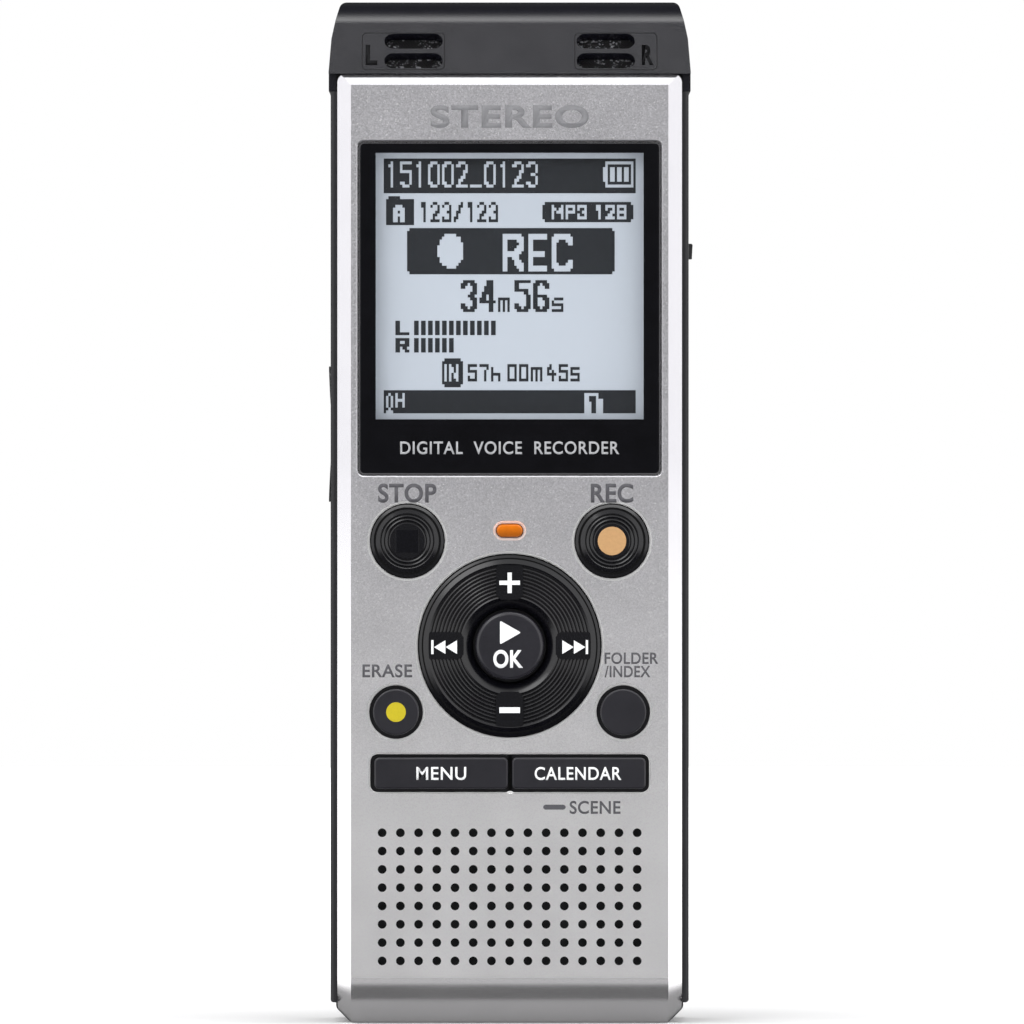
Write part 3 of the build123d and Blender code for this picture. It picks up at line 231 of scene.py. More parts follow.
# ---------------------------------------------------------------- materials
def silver_paint():
    """Silver paint: small bright and dark flakes in a clear binder over plastic, with painted shade from top to
    bottom and a painted highlight on the bevelled lips of the key openings.
    """
    look = Look("silver_paint", (0.76, 0.75, 0.785), 0.31, metallic=0.9, coat=0.1, coat_roughness=0.3)
    # Painted shade: the paint is made lighter towards the bottom of the face and darker towards its top, as the light
    # falls on it.
    look.shade(look.axis(2), 1.31, 0.91, 22 * MM, 62 * MM)
    smooth = look.colour
    coarse = look.new("ShaderNodeSeparateColor")
    look.link(look.cells(0.13).outputs["Color"], coarse.inputs[0])
    fine = look.new("ShaderNodeSeparateColor")
    look.link(look.cells(0.075).outputs["Color"], fine.inputs[0])
    look.shade(coarse.outputs[0], 0.85, 1.15, 0.0, 1.0)
    look.shade(fine.outputs[1], 0.87, 1.13, 0.0, 1.0)
    look.shade(look.maths("GREATER_THAN", coarse.outputs[1], 0.95), 1.0, 1.25, 0.0, 1.0)
    # The flakes lie flat on the face, and show most toward its upper end.
    on_face = look.maths("LESS_THAN", look.axis(1), -8.99 * MM)
    shown = look.maths("MULTIPLY", on_face, look.spread(look.axis(2), 0.12, 1.0, 14 * MM, 70 * MM))
    look.colour = look.mix_colour(shown, smooth, look.colour)
    sheen = look.spread(on_face, 0.21, 0.30, 0.0, 1.0)
    uneven = look.spread(look.noise(5.0), -0.01, 0.02)
    look.link(look.maths("ADD", sheen, uneven), look.shader.inputs["Roughness"])
    look.bump(look.maths("MULTIPLY", coarse.outputs[2], shown), 0.003, 0.5)
    # The bevelled lips of the key openings get a painted highlight: near-white colour and less metal, standing in for
    # the bright light they catch.
    in_depth = look.between(look.axis(1), LIP_Y[0] * MM, LIP_Y[1] * MM)
    in_height = look.between(look.axis(2), KEYPAD_Z[0] * MM, KEYPAD_Z[1] * MM)
    in_width = look.between(look.axis(0), -KEYPAD_HALF_WIDTH * MM, KEYPAD_HALF_WIDTH * MM)
    painted_lip_highlight = look.maths("MULTIPLY", look.maths("MULTIPLY", in_depth, in_height), in_width)
    look.paint(painted_lip_highlight, (0.97, 0.97, 0.97))
    look.link(look.maths("SUBTRACT", 0.9, look.maths("MULTIPLY", painted_lip_highlight, 0.45)), look.shader.inputs["Metallic"])
    return look.mat


def window_look():
    """Clear acrylic with a black border printed behind it. The view stays clear."""
    look = Look("window", (0.003, 0.003, 0.004), 0.07, specular=0.2)
    view = look.maths(
        "MULTIPLY",
        look.between(look.axis(0), -VIEW_HALF_WIDTH * MM, VIEW_HALF_WIDTH * MM),
        look.between(look.axis(2), VIEW_Z[0] * MM, VIEW_Z[1] * MM),
    )
    alpha = look.maths("SUBTRACT", 1.0, look.maths("MULTIPLY", view, 0.965))
    look.link(alpha, look.shader.inputs["Alpha"])
    look.gloss(look.noise(9.0), 0.05, 0.09)
    look.shade(look.noise(2.0), 0.8, 1.2)
    return look.mat


def lcd_look():
    """Display glass: pale blue-grey, lit a little from behind, with faint rows and columns of cells."""
    look = Look("lcd", (0.43, 0.472, 0.53), 0.35, specular=0.2)
    columns = look.maths("FRACT", look.maths("MULTIPLY", look.axis(0), 1 / (CELL_WIDTH * MM)))
    rows = look.maths("FRACT", look.maths("MULTIPLY", look.axis(2), 1 / (0.315 * MM)))
    gaps = look.maths("GREATER_THAN", columns, 0.94), look.maths("GREATER_THAN", rows, 0.95)
    lines = look.maths("MAXIMUM", *gaps)
    look.paint(look.maths("MULTIPLY", lines, 0.25), (0.48, 0.53, 0.59))
    look.shade(look.noise(20.0, detail=1), 0.97, 1.02)
    look.link(look.colour, look.shader.inputs["Emission Color"])
    look.shader.inputs["Emission Strength"].default_value = 0.12
    look.gloss(look.noise(5.0), 0.3, 0.4)
    return look.mat


def amber_look():
    """Clear amber lens of the record lamp, with painted shade and highlight: darker in its bottom half, lighter at
    its top.
    """
    look = Look("amber", (0.48, 0.115, 0.001), 0.2, specular=0.3, coat=0.1, coat_roughness=0.08)
    look.shade(look.noise(1.2), 0.9, 1.1)
    # Painted shade and highlight: darker towards the bottom of the lens, lighter towards its top.
    painted_light_by_height = look.spread(look.axis(2), 0, 1, (LAMP_Z - 0.35) * MM, (LAMP_Z + 0.45) * MM)
    look.shade(painted_light_by_height, 0.62, 1.25, 0.0, 1.0)
    look.bump(look.noise(0.4), 0.004)
    return look.mat


def board_look():
    """Solder mask with copper tracks that show through as lighter lines."""
    look = Look("board", (0.012, 0.085, 0.03), 0.35, specular=0.5, coat=0.3)
    x = look.maths("FRACT", look.maths("MULTIPLY", look.axis(0), 1 / (0.9 * MM)))
    z = look.maths("FRACT", look.maths("MULTIPLY", look.axis(2), 1 / (1.1 * MM)))
    patch = look.maths("GREATER_THAN", look.noise(5.0, detail=0), 0.5)
    along = look.maths("MULTIPLY", look.maths("LESS_THAN", x, 0.28), patch)
    across = look.maths("MULTIPLY", look.maths("LESS_THAN", z, 0.25), look.maths("SUBTRACT", 1.0, patch))
    tracks = look.maths("MAXIMUM", along, across)
    look.paint(look.maths("MULTIPLY", tracks, 0.8), (0.03, 0.18, 0.06))
    look.bump(tracks, 0.02)
    look.gloss(look.noise(2.0), 0.28, 0.42)
    return look.mat


def cloth_look():
    """Fine plain weave, black."""
    look = Look("speaker_cloth", (0.012, 0.012, 0.013), 0.9, specular=0.15)
    x = look.maths("SINE", look.maths("MULTIPLY", look.axis(0), 2 * math.pi / (0.22 * MM)))
    z = look.maths("SINE", look.maths("MULTIPLY", look.axis(2), 2 * math.pi / (0.22 * MM)))
    weave = look.maths("MULTIPLY", x, z)
    look.shade(weave, 0.5, 1.5, -1.0, 1.0)
    look.bump(weave, 0.05)
    look.shader.inputs["Sheen Weight"].default_value = 0.2
    return look.mat


def mesh_look():
    """Open metal weave over the microphones, black with grey specks in scattered cells."""
    look = Look("mic_mesh", (0.006, 0.006, 0.007), 0.5, metallic=0.2, specular=0.4)
    x = look.maths("SINE", look.maths("MULTIPLY", look.axis(0), 2 * math.pi / (0.36 * MM)))
    z = look.maths("SINE", look.maths("MULTIPLY", look.axis(2), 2 * math.pi / (0.30 * MM)))
    weave = look.maths("MULTIPLY", x, z)
    wires = look.cells(0.17)
    split = look.new("ShaderNodeSeparateColor")
    look.link(wires.outputs["Color"], split.inputs[0])
    # Grey specks are laid over the weave in scattered patches of cells.
    speck_patches = look.maths("GREATER_THAN", look.noise(1.6, detail=1), 0.49)
    speck = look.maths("MULTIPLY", look.maths("GREATER_THAN", split.outputs[0], 0.7), speck_patches)
    look.paint(look.maths("MULTIPLY", speck, split.outputs[1]), (0.42, 0.42, 0.45))
    look.bump(weave, 0.09)
    return look.mat


def cell_look(name, contact_at_top, low, high):
    """Sleeve of a dry cell: dark body, a copper band by its contact, thin pale rings."""
    look = Look(name, (0.02, 0.021, 0.024), 0.28, metallic=0.35, specular=0.5, coat=0.3)
    z = look.axis(2)
    top, bottom = (high, low) if contact_at_top else (low, high)
    span = top - bottom
    marks = sorted((bottom + span * 0.76, bottom + span * 0.985))
    look.paint(look.between(z, marks[0] * MM, marks[1] * MM), (0.55, 0.26, 0.07))
    for share in (0.745, 0.10, 0.985):
        ring = bottom + span * share
        look.paint(look.between(z, (ring - 0.16) * MM, (ring + 0.16) * MM), (0.62, 0.62, 0.60))
    ends = look.maths("GREATER_THAN", z, (high - 0.25) * MM)
    ends = look.maths("MAXIMUM", ends, look.maths("LESS_THAN", z, (low + 0.25) * MM))
    look.paint(ends, (0.55, 0.55, 0.54))
    look.shade(look.noise(3.0), 0.9, 1.08)
    look.gloss(look.noise(1.5), 0.2, 0.34)
    look.bump(look.noise(0.4), 0.004)
    return look.mat


def contact_film():
    """Flexible circuit: copper lines under an amber film."""
    look = Look("flex_film", (0.50, 0.24, 0.05), 0.3, specular=0.5, coat=0.2)
    across = look.maths("FRACT", look.maths("MULTIPLY", look.axis(0), 1 / (0.5 * MM)))
    lines = look.maths("LESS_THAN", across, 0.45)
    look.paint(look.maths("MULTIPLY", lines, 0.7), (0.66, 0.36, 0.10))
    look.bump(lines, 0.01)
    look.shade(look.noise(1.5), 0.92, 1.06)
    return look.mat


materials = {
    "front_cover": silver_paint(),
    "display_window": window_look(),
    "lcd_glass": lcd_look(),
    "led_lens": amber_look(),
    "main_board": board_look(),
    "speaker_cloth": cloth_look(),
    "mic_mesh": mesh_look(),
    "battery_left": cell_look("cell_left", True, 31.5, 75.1),
    "battery_right": cell_look("cell_right", False, 30.45, 74.05),
    "lcd_flex": contact_film(),
}
key_top = plastic("key_top", (0.011, 0.0105, 0.015), 0.32, grain=0.10, height=0.004, specular=0.5).mat
ring_top = plastic("ring_top", (0.003, 0.003, 0.0045), 0.2, grain=0.12, height=0.002, specular=0.5).mat
centre_top = plastic("centre_top", (0.014, 0.0135, 0.018), 0.25, grain=0.12, height=0.004, specular=0.5).mat
cap_black = plastic("cap_black", (0.005, 0.005, 0.0085), 0.2, grain=0.16, height=0.008, specular=0.5).mat
rear_black = plastic("rear_black", (0.012, 0.012, 0.0145), 0.42, grain=0.22, height=0.018, specular=0.40).mat
door_black = plastic("door_black", (0.012, 0.012, 0.014), 0.42, grain=0.22, height=0.018, specular=0.40).mat
lever_black = plastic("lever_black", (0.030, 0.030, 0.032), 0.42, grain=0.15, height=0.010).mat
tray_black = plastic("tray_black", (0.028, 0.028, 0.030), 0.55, grain=0.2, height=0.010).mat
jack_black = plastic("jack_black", (0.012, 0.012, 0.013), 0.30, grain=0.15, height=0.004).mat
chip_black = plastic("chip_black", (0.020, 0.020, 0.021), 0.6, grain=0.10, height=0.006).mat
white_plastic = plastic("white_plastic", (0.72, 0.72, 0.70), 0.5, grain=0.2, height=0.006).mat
guide_white = plastic("guide_white", (0.80, 0.84, 0.86), 0.2, grain=0.6, height=0.010, coat=0.4).mat
tape_black = plastic("tape_black", (0.014, 0.014, 0.014), 0.7, grain=0.4, height=0.010).mat
silicone = plastic("silicone", (0.09, 0.09, 0.095), 0.65, grain=0.25, height=0.010, specular=0.3).mat
foam = plastic("foam", (0.02, 0.02, 0.02), 0.95, grain=0.3, height=0.08, specular=0.1).mat
cone_film = plastic("cone_film", (0.06, 0.06, 0.065), 0.25, grain=0.5, height=0.010, coat=0.3).mat
led_chip = plastic("led_chip", (0.80, 0.62, 0.28), 0.3, grain=0.3, height=0.010, coat=0.4).mat
steel = metal("steel", (0.55, 0.55, 0.56), 0.30, stretch=(1, 1, 0.06), grain=0.5)
nickel = metal("nickel", (0.62, 0.61, 0.58), 0.24)
gold = metal("gold", (0.78, 0.55, 0.20), 0.24)
dark_steel = metal("dark_steel", (0.09, 0.09, 0.095), 0.38)
can = metal("mic_can", (0.66, 0.66, 0.67), 0.33)
magnet_steel = metal("magnet_steel", (0.42, 0.42, 0.44), 0.42)

materials.update(
    {
        "window_tape": tape_black, "light_guide": guide_white, "lcd_frame": white_plastic,
        "record_led": led_chip, "stop_button": ring_top, "rec_button": ring_top, "erase_button": key_top,
        "folder_button": key_top, "menu_button": key_top, "calendar_button": key_top, "nav_ring": ring_top,
        "nav_ring_web": silicone, "ok_button": centre_top, "key_retainer": tray_black,
        "dome_switches": nickel.mat, "processor_chip": chip_black, "memory_chip": chip_black,
        "speaker_frame": steel.mat, "speaker_cone": cone_film, "speaker_magnet": magnet_steel.mat,
        "speaker_gasket": foam, "mic_cap": cap_black, "left_microphone": can.mat, "right_microphone": can.mat,
        "left_mic_boot": silicone, "right_mic_boot": silicone, "rear_cover": rear_black,
        "battery_tray": tray_black, "battery_cover": door_black, "battery_springs": nickel.mat,
        "battery_bridge_plate": nickel.mat, "battery_terminals": nickel.mat, "usb_shell": steel.mat,
        "usb_tongue": white_plastic, "usb_contacts": gold.mat, "usb_carriage": tray_black,
        "usb_lever": lever_black, "stand": door_black, "hold_knob": lever_black, "hold_switch_body": tray_black,
        "microphone_jack": jack_black, "earphone_jack": jack_black, "card_socket": steel.mat,
        "memory_card": chip_black, "card_cover": door_black, "case_screws": dark_steel.mat,
        "board_screws": nickel.mat,
    }
)
for name, node in nodes.items():
    node.data.materials.clear()
    node.data.materials.append(materials[name])

label_grey = ink("label_grey", (0.078, 0.077, 0.086)).mat
title_grey = ink("title_grey", (0.19, 0.19, 0.20)).mat
white_ink = ink("white_ink", (0.80, 0.81, 0.82), 0.5).mat
window_ink = ink("window_ink", (0.36, 0.365, 0.38), 0.4).mat
peach = ink("peach_dot", (0.455, 0.265, 0.118), 0.45).mat
yellow = ink("yellow_dot", (0.465, 0.38, 0.008), 0.45).mat
square_black = plastic("square_black", (0.003, 0.003, 0.0045), 0.16, grain=0.5, height=0.002, specular=0.3).mat
dot_black = ink("dot_black", (0.017, 0.020, 0.025), 0.5).mat
engraved_line = plastic("engraved_line", (0.003, 0.003, 0.004), 0.55, grain=0.3, height=0.004, specular=0.22).mat
engraved = plastic("engraved", (0.002, 0.002, 0.003), 0.6, grain=0.3, height=0.004, specular=0.15).mat


# ---------------------------------------------------------------- pieces
def piece(name, mesh, material, body):
    mesh.materials.clear()
    mesh.materials.append(material)
    obj = bpy.data.objects.new(name, mesh)
    bpy.context.collection.objects.link(obj)
    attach(obj, body)
    return obj


def lettering(
    name, text, left, right, baseline, height, y, material, body,
    weight=0.0, place=None, spacing=1.0, thickness=PRINT_THICKNESS,
):
    """Printed letters from x=left to x=right, on a baseline, all in millimetres, facing -Y."""
    curve = bpy.data.curves.new(name, "FONT")
    curve.body = text
    curve.size = 1.0
    curve.offset = weight
    curve.space_character = spacing
    maker = bpy.data.objects.new(name, curve)
    bpy.context.collection.objects.link(maker)
    bpy.context.view_layer.update()
    flat = bpy.data.meshes.new_from_object(maker.evaluated_get(bpy.context.evaluated_depsgraph_get()))
    bpy.data.objects.remove(maker)
    bpy.data.curves.remove(curve)
    xs = [v.co.x for v in flat.vertices]
    ys = [v.co.y for v in flat.vertices]
    scale_x = (right - left) / (max(xs) - min(xs))
    capital = max(ys)
    scale_z = height / capital
    start = min(xs)
    for v in flat.vertices:
        x = left + (v.co.x - start) * scale_x
        z = baseline + v.co.y * scale_z
        v.co = (x, y, z) if place is None else place(x, z)
    solid = bmesh.new()
    solid.from_mesh(flat)
    bmesh.ops.remove_doubles(solid, verts=solid.verts, dist=1e-5)
    front = list(solid.faces)
    made = bmesh.ops.extrude_face_region(solid, geom=front)
    for v in (g for g in made["geom"] if isinstance(g, bmesh.types.BMVert)):
        v.co.y -= thickness
    for v in solid.verts:
        v.co *= MM
    bmesh.ops.recalc_face_normals(solid, faces=solid.faces)
    solid.to_mesh(flat)
    solid.free()
    return piece(name, flat, material, body)


def plate(name, outlines, y, material, body, thickness=0.02, edge=0.0, place=None):
    """Thin raised shapes, each an outline of (x, z) points in millimetres, with a softened front edge."""
    mesh = bpy.data.meshes.new(name)
    solid = bmesh.new()
    for outline in outlines:
        back = [solid.verts.new((x, y, z) if place is None else place(x, z)) for x, z in outline]
        face = solid.faces.new(back)
        made = bmesh.ops.extrude_face_region(solid, geom=[face])
        front = [g for g in made["geom"] if isinstance(g, bmesh.types.BMVert)]
        for v in front:
            v.co.y -= thickness
        if edge:
            cap = [g for g in made["geom"] if isinstance(g, bmesh.types.BMFace)]
            bmesh.ops.inset_region(solid, faces=cap, thickness=edge, depth=0)
            for v in cap[0].verts:
                v.co.y -= edge * 0.6
    for v in solid.verts:
        v.co *= MM
    bmesh.ops.recalc_face_normals(solid, faces=solid.faces)
    solid.to_mesh(mesh)
    solid.free()
    return piece(name, mesh, material, body)


def circle(x, z, radius, count=48):
    turn = 2 * math.pi / count
    return [(x + radius * math.cos(i * turn), z + radius * math.sin(i * turn)) for i in range(count)]


def rectangle(x0, z0, x1, z1):
    return [(x0, z0), (x1, z0), (x1, z1), (x0, z1)]


def stadium(x, z, length, height, count=10):
    radius = height / 2
    run = length / 2 - radius
    turns = [a * math.pi / count for a in range(count + 1)]
    right = [(x + run + radius * math.sin(a), z - radius * math.cos(a)) for a in turns]
    left = [(x - run - radius * math.sin(a), z + radius * math.cos(a)) for a in turns]
    return right + left


def rounded(points, radius, steps=4):
    """An outline with its corners rounded."""
    out = []
    count = len(points)
    for i, corner in enumerate(points):
        before, after = points[i - 1], points[(i + 1) % count]
        ends = []
        for other in (before, after):
            dx, dz = other[0] - corner[0], other[1] - corner[1]
            length = math.hypot(dx, dz)
            ends.append((corner[0] + dx * radius / length, corner[1] + dz * radius / length))
        for step in range(steps + 1):
            t = step / steps
            x = (1 - t) ** 2 * ends[0][0] + 2 * t * (1 - t) * corner[0] + t * t * ends[1][0]
            z = (1 - t) ** 2 * ends[0][1] + 2 * t * (1 - t) * corner[1] + t * t * ends[1][1]
            out.append((x, z))
    return out


# Printed legends on the silver face
face = FACE_Y + PRINT_GAP
lettering("title", "STEREO", -8.6, 8.6, 97.58, 2.35, face, title_grey, "housing", weight=0.035, spacing=1.12)
for name, text, left, right, baseline, height, weight in (
    ("label_stop", "STOP", -14.3, -7.95, 56.80, 2.0, 0.028),
    ("label_rec", "REC", 8.82, 13.44, 56.80, 2.0, 0.028),
    ("label_erase", "ERASE", -16.0, -10.6, 37.77, 1.38, 0.018),
    ("label_folder", "FOLDER", 10.32, 16.16, 39.22, 1.22, 0.018),
    ("label_index", "/INDEX", 10.32, 15.30, 37.77, 1.22, 0.018),
    ("label_scene", "SCENE", 6.52, 12.05, 22.93, 1.37, 0.018),
):
    lettering(name, text, left, right, baseline, height, face, label_grey, "housing", weight=weight, spacing=1.06)
plate("label_dash", [stadium(4.87, 23.62, 2.44, 0.54)], face, label_grey, "housing", thickness=PRINT_THICKNESS)
lettering(
    "window_title", "DIGITAL  VOICE  RECORDER", -11.9, 11.9, 62.02, 1.36, WINDOW_Y, window_ink, "housing",
    weight=0.014, spacing=1.1,
)

# Symbols on the keys
key = KEY_Y + PRINT_GAP
lettering("text_menu", "MENU", -10.14, -4.72, 26.62, 1.38, key, white_ink, "menu_key", weight=0.012, spacing=1.08)
lettering(
    "text_calendar", "CALENDAR", 2.72, 12.13, 26.62, 1.38, key, white_ink, "calendar_key", weight=0.014, spacing=1.08
)
lettering("text_ok", "OK", -1.78, 1.46, 38.84, 1.88, key, white_ink, "centre_key", weight=0.03, spacing=1.05)
play = rounded([(-1.05, 41.30), (1.24, 42.60), (-1.05, 43.90)], 0.22)
plate("symbol_play", [play], key, white_ink, "centre_key", thickness=PRINT_THICKNESS)
ring_face = RING_PAD_Y + PRINT_GAP
plus = [rectangle(-1.12, 47.78, 1.12, 48.24), rectangle(-0.23, 46.89, 0.23, 49.12)]
plate("symbol_plus", plus[:1], ring_face, white_ink, "ring_key", thickness=PRINT_THICKNESS)
plate("symbol_plus_upright", plus[1:], ring_face, white_ink, "ring_key", thickness=CROSSING_THICKNESS)
minus = [rectangle(-1.12, 33.86, 1.12, 34.48)]
plate("symbol_minus", minus, ring_face, white_ink, "ring_key", thickness=PRINT_THICKNESS)
back_marks = [
    rectangle(-8.52, 40.26, -8.27, 41.78),
    [(-8.22, 41.02), (-6.98, 40.28), (-6.98, 41.76)],
    [(-6.95, 41.02), (-5.72, 40.28), (-5.72, 41.76)],
]
plate("symbol_back", back_marks, ring_face, white_ink, "ring_key", thickness=PRINT_THICKNESS)
plate(
    "symbol_forward",
    [[(-x, z) for x, z in reversed(mark)] for mark in back_marks],
    ring_face, white_ink, "ring_key", thickness=PRINT_THICKNESS,
)
plate("dot_rec", [circle(11.12, 52.55, 1.55)], key, peach, "record_key", thickness=PRINT_THICKNESS, edge=0.03)
plate("dot_erase", [circle(-12.35, 33.95, 1.07)], key, yellow, "erase_key", thickness=PRINT_THICKNESS, edge=0.03)
plate(
    "square_stop", [rounded(rectangle(-12.37, 51.3, -9.87, 53.8), 0.12)], key, square_black, "stop_key",
    thickness=PRINT_THICKNESS, edge=0.03,
)


# Engraving on the slanted face of the microphone cap
def on_slant(x, z):
    return (x, SLANT_FOOT[0] + (z - SLANT_FOOT[1]) * SLANT_LEAN + PRINT_GAP, z)


def frame_outline(x0, z0, x1, z1, radius, width):
    """A rounded frame drawn as a row of short flat strips."""
    outer = rounded(rectangle(x0, z0, x1, z1), radius, 6)
    inner = rounded(rectangle(x0 + width, z0 + width, x1 - width, z1 - width), radius - width, 6)
    count = len(outer)
    return [[outer[i], outer[(i + 1) % count], inner[(i + 1) % count], inner[i]] for i in range(count)]


for side, letter, x0, x1 in ((-1, "L", -15.69, -14.40), (1, "R", 14.38, 15.67)):
    lettering(
        f"mic_letter_{letter}", letter, x0, x1, 104.48, 2.12, 0, engraved, "housing", weight=0.045, place=on_slant
    )
    edges = sorted((side * 16.10, side * 7.05))
    outline = frame_outline(edges[0], 103.78, edges[1], 107.98, 0.6, 0.1)
    plate(f"mic_outline_{letter}", outline, 0, engraved_line, "housing", thickness=ENGRAVED_THICKNESS, place=on_slant)


# ---------------------------------------------------------------- display picture
# Characters as strokes on a lattice 4 wide and 6 high: two digits a point (across, down), a comma between strokes.
# "y" is the small open-topped 4.
GLYPHS = {
    "0": "10 30 41 45 36 16 05 01 10", "1": "11 20 26", "2": "01 10 30 41 42 06 46",
    "3": "01 10 30 41 42 33 23, 33 44 45 36 16 05", "4": "30 04 44, 30 36", "y": "10 04 44, 32 36",
    "5": "40 00 02 32 43 45 36 16 05",
    "6": "41 30 10 01 05 16 36 45 44 33 03", "7": "00 40 41 23 26",
    "8": "10 30 41 42 33 13 02 01 10, 13 04 05 16 36 45 44 33",
    "A": "06 02 20 42 46, 04 44", "C": "41 30 10 01 05 16 36 45", "E": "40 00 06 46, 03 33",
    "H": "00 06, 40 46, 03 43", "I": "00 06", "L": "00 06 46", "M": "06 00 23 40 46", "N": "06 00 46 40",
    "P": "06 00 30 41 42 33 03", "R": "06 00 30 41 42 33 03, 23 46", "/": "40 06", "_": "06 46",
    "h": "00 06, 03 33 44 46", "m": "06 00 10 21 30 41 46, 21 26", "s": "40 10 01 02 13 33 44 45 36 06",
}
dots = set()


def write(text, left, top, width, height, step, pen=(1, 1), clear=False):
    """Characters in dots, drawn along their strokes with a pen of so many dots across and down."""
    shape = set()
    for place, char in enumerate(text):
        for stroke in GLYPHS.get(char, "").split(","):
            across, down = width - pen[0], height - pen[1]
            points = [(int(p[0]) / 4 * across, int(p[1]) / 6 * down) for p in stroke.split()]
            for (x0, y0), (x1, y1) in zip(points, points[1:]):
                count = max(1, math.ceil(4 * max(abs(x1 - x0), abs(y1 - y0))))
                for i in range(count + 1):
                    column = math.floor(x0 + (x1 - x0) * i / count + 0.5)
                    row = math.floor(y0 + (y1 - y0) * i / count + 0.5)
                    shape |= {
                        (left + place * step + column + dx, top + row + dy)
                        for dx in range(pen[0]) for dy in range(pen[1])
                    }
    put(shape, clear)


def put(shape, clear=False):
    if clear:
        dots.difference_update(shape)
    else:
        dots.update(shape)


def fill(left, top, right, bottom, clear=False, round_corners=False):
    block = {(c, r) for c in range(left, right + 1) for r in range(top, bottom + 1)}
    if round_corners:
        block -= {(left, top), (right, top), (left, bottom), (right, bottom)}
    put(block, clear)


# Header: file number and battery gauge
fill(0, 0, 107, 11)
write("151002_0123", 1, 1, 5, 9, 6, clear=True)
fill(95, 1, 106, 9, clear=True)
fill(96, 2, 105, 8)
fill(94, 3, 94, 7, clear=True)
for bar in range(3):
    fill(97 + 3 * bar, 3, 98 + 3 * bar, 7, clear=True)
# Folder mark, file count, format
fill(1, 14, 12, 22)
fill(2, 13, 6, 13)
write("A", 4, 16, 5, 6, 6, pen=(2, 1), clear=True)
write("123/123", 15, 15, 4, 7, 5)
fill(68, 15, 106, 21, round_corners=True)
write("M", 72, 16, 5, 5, 6, clear=True)
write("P3", 78, 16, 4, 5, 5, clear=True)
write("128", 90, 16, 4, 5, 5, clear=True)
# Big record sign
fill(10, 24, 98, 39, round_corners=True)
disc = {(c, r) for c in range(20, 38) for r in range(24, 40) if math.hypot((c - 28.3) / 5.6, (r - 31.4) / 6.1) <= 1}
put(disc, clear=True)
write("R", 51, 26, 9, 13, 11, pen=(2, 2), clear=True)
write("E", 62, 26, 8, 13, 11, pen=(2, 2), clear=True)
write("C", 72, 26, 9, 13, 11, pen=(2, 2), clear=True)
# Elapsed time
write("34", 33, 42, 7, 11, 8, pen=(2, 1))
write("m", 49, 48, 5, 5, 6)
write("56", 56, 42, 7, 11, 8, pen=(2, 1))
write("s", 72, 48, 5, 5, 6)
# Level meters
write("L", 5, 56, 6, 5, 6, pen=(2, 1))
write("R", 5, 62, 6, 5, 6, pen=(2, 1))
for bar in range(12):
    fill(13 + 3 * bar, 56, 14 + 3 * bar, 60)
for bar in range(6):
    fill(13 + 3 * bar, 62, 14 + 3 * bar, 66)
# Time left
fill(25, 69, 33, 78, round_corners=True)
write("I", 26, 71, 1, 6, 2, clear=True)
write("N", 28, 71, 4, 6, 5, clear=True)
write("57", 36, 71, 4, 6, 5)
write("h", 46, 72, 4, 5, 4)
write("00", 53, 71, 4, 6, 5)
write("m", 63, 72, 5, 5, 6)
write("y5", 70, 71, 4, 6, 5)
write("s", 80, 72, 4, 5, 5)
# Foot line: microphone mark, sensitivity and page mark
fill(0, 80, 107, 87)
fill(1, 81, 3, 86, clear=True, round_corners=True)
fill(2, 82, 2, 85)
fill(1, 87, 3, 87, clear=True)
write("H", 5, 81, 4, 5, 4, clear=True)
fill(86, 81, 93, 87, clear=True)
fill(92, 81, 93, 82)
write("1", 87, 82, 5, 6, 4, pen=(2, 1))

left_edge, top_edge = -13.71, 94.18
dot_mesh = bpy.data.meshes.new("lcd_dots")
dot_points, dot_faces = [], []
glass_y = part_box("lcd_glass")[0][1] / MM - 0.012
for column, row in sorted(dots):
    x0 = left_edge + column * CELL_WIDTH
    z0 = top_edge - (row + 1) * CELL_HEIGHT
    x1, z1 = x0 + CELL_WIDTH, z0 + CELL_HEIGHT
    first = len(dot_points)
    dot_points += [(x0 * MM, glass_y * MM, z0 * MM), (x1 * MM, glass_y * MM, z0 * MM)]
    dot_points += [(x1 * MM, glass_y * MM, z1 * MM), (x0 * MM, glass_y * MM, z1 * MM)]
    dot_faces.append((first, first + 1, first + 2, first + 3))
dot_mesh.from_pydata(dot_points, [], dot_faces)
piece("lcd_dots", dot_mesh, dot_black, "housing")


# ---------------------------------------------------------------- studio
def ground():
    """A round pale floor that glows, more so away from the object: painted light, which leaves painted shade round
    the object.
    """
    mesh = bpy.data.meshes.new("floor")
    disc = bmesh.new()
    bmesh.ops.create_circle(disc, cap_ends=True, cap_tris=False, segments=96, radius=1.2)
    disc.to_mesh(mesh)
    disc.free()
    floor = bpy.data.objects.new("floor", mesh)
    bpy.context.collection.objects.link(floor)
    look = Look("floor", (0.93, 0.93, 0.935), 0.6, specular=0.2)
    look.shade(look.noise(40.0), 0.99, 1.01)
    look.bump(look.noise(0.6), 0.01)
    away = look.new("ShaderNodeVectorMath", operation="LENGTH")
    look.link(look.place, away.inputs[0])
    # Painted light: the floor glows, weakly next to the object and more strongly away from it.
    look.shader.inputs["Emission Color"].default_value = (1, 1, 1, 1)
    look.link(look.spread(away.outputs["Value"], 0.0, 0.35, 0.02, 0.2), look.shader.inputs["Emission Strength"])
    mesh.materials.append(look.mat)
    floor.visible_glossy = False


def softbox(name, place, aim, width, height, power):
    lamp = bpy.data.lights.new(name, "AREA")
    lamp.shape = "RECTANGLE"
    lamp.size, lamp.size_y = width, height
    lamp.energy = power
    obj = bpy.data.objects.new(name, lamp)
    bpy.context.collection.objects.link(obj)
    obj.location = place
    direction = [a - p for a, p in zip(aim, place)]
    obj.rotation_euler = Vector(direction).to_track_quat("-Z", "Y").to_euler()


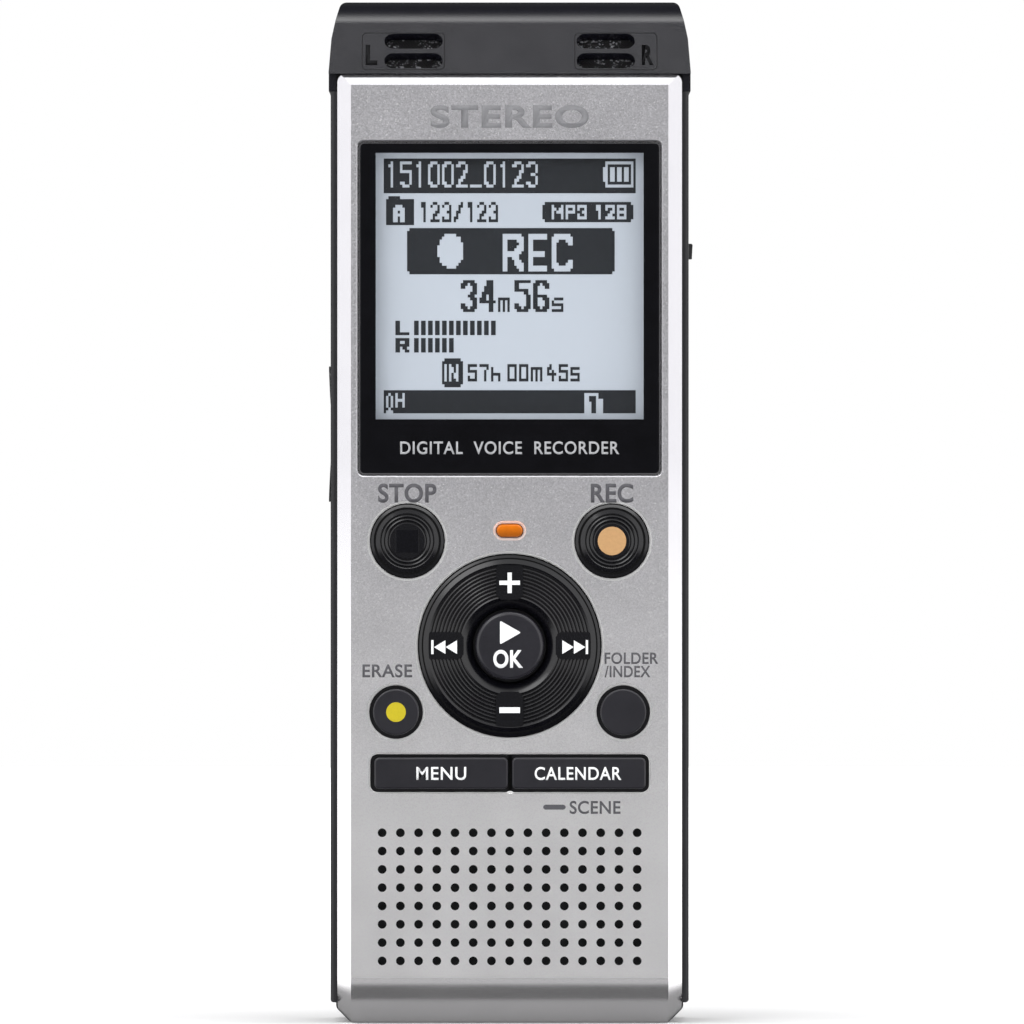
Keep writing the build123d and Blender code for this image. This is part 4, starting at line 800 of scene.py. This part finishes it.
ground()
centre = (0, 0, 0.055)
softbox("front_key", (-0.45, -0.85, 0.75), centre, 0.5, 0.5, 2.2)
softbox("back_left", (-0.7, 0.75, 0.4), centre, 0.5, 0.5, 3.2)
softbox("back_right", (0.7, 0.75, 0.4), centre, 0.5, 0.5, 3.2)

# The room's light by direction, from the front (-Y) round to the back: all round, and overhead.
# Past the object the camera sees white.
ROOM = (
    (-1.00, 0.18), (-0.985, 0.22), (-0.95, 0.70), (-0.88, 1.60), (-0.50, 1.40), (-0.38, 1.15),
    (-0.25, 1.15), (-0.08, 1.42), (0.08, 1.35), (0.20, 0.60), (0.30, 0.15), (1.00, 0.06),
)
OVERHEAD = (
    (-1.00, 1.00), (-0.50, 0.85), (-0.44, 0.25), (-0.34, 0.30), (-0.29, 1.80), (-0.23, 6.00),
    (-0.14, 5.50), (-0.04, 2.60), (0.06, 0.90), (0.20, 0.22), (0.40, 0.08), (1.00, 0.04),
)
LOW_FRONT, LOW_BACK = 0.0, 0.20
BRIGHTEST = max(level for _, level in ROOM + OVERHEAD)
world = bpy.data.worlds.new("studio")
bpy.context.scene.world = world
world.use_nodes = True
tree = world.node_tree


def world_node(kind, inputs, **settings):
    node = tree.nodes.new(kind)
    for key, value in settings.items():
        setattr(node, key, value)
    for place, value in inputs.items():
        if isinstance(value, bpy.types.NodeSocket):
            tree.links.new(value, node.inputs[place])
        else:
            node.inputs[place].default_value = value
    return node


def world_range(value, low, high, to_low=0.0, to_high=1.0):
    sockets = {"Value": value, "From Min": low, "From Max": high, "To Min": to_low, "To Max": to_high}
    return world_node("ShaderNodeMapRange", sockets).outputs[0]


def world_mix(factor, first, second):
    return world_node("ShaderNodeMix", {0: factor, 2: first, 3: second}, data_type="FLOAT").outputs[0]


towards = tree.nodes.new("ShaderNodeTexCoord").outputs["Generated"]
direction = world_node("ShaderNodeSeparateXYZ", {0: towards}).outputs


def level_ramp(levels):
    ramp = world_node("ShaderNodeValToRGB", {0: world_range(direction[1], -1, 1)})
    steps = ramp.color_ramp.elements
    while len(steps) < len(levels):
        steps.new(0.5)
    for step, (where, _) in zip(steps, levels):
        step.position = (where + 1) / 2
    for step, (_, level) in zip(steps, levels):
        step.color = (*[level / BRIGHTEST] * 3, 1)
    return ramp.outputs[0]


upward = world_range(direction[2], 0.62, 0.80)
level_light = world_mix(upward, level_ramp(ROOM), level_ramp(OVERHEAD))
low = world_range(direction[2], -0.22, -0.40)
low_level = world_range(direction[1], -0.54, -0.44, LOW_FRONT / BRIGHTEST, LOW_BACK / BRIGHTEST)
room_light = world_mix(low, level_light, low_level)
seen = tree.nodes.new("ShaderNodeLightPath").outputs["Is Camera Ray"]
background = tree.nodes["Background"]
tree.links.new(world_mix(seen, room_light, 1 / BRIGHTEST), background.inputs[0])
background.inputs[1].default_value = BRIGHTEST

# ---------------------------------------------------------------- camera
camera_data = bpy.data.cameras.new("camera")
camera = bpy.data.objects.new("camera", camera_data)
bpy.context.collection.objects.link(camera)
IMAGE_WIDTH = 1024
PIXELS_PER_MM = 9.2
SENSOR_WIDTH = 36
DISTANCE = 1200.0
camera_data.sensor_width = SENSOR_WIDTH
camera_data.lens = SENSOR_WIDTH * DISTANCE / (IMAGE_WIDTH / PIXELS_PER_MM)
camera_data.clip_start = 0.01
camera.location = (0.255 * MM, (FACE_Y - DISTANCE) * MM, 55.7 * MM)
camera.rotation_euler = (math.pi / 2, 0, 0)
bpy.context.scene.camera = camera
bpy.context.scene.view_settings.view_transform = "Standard"
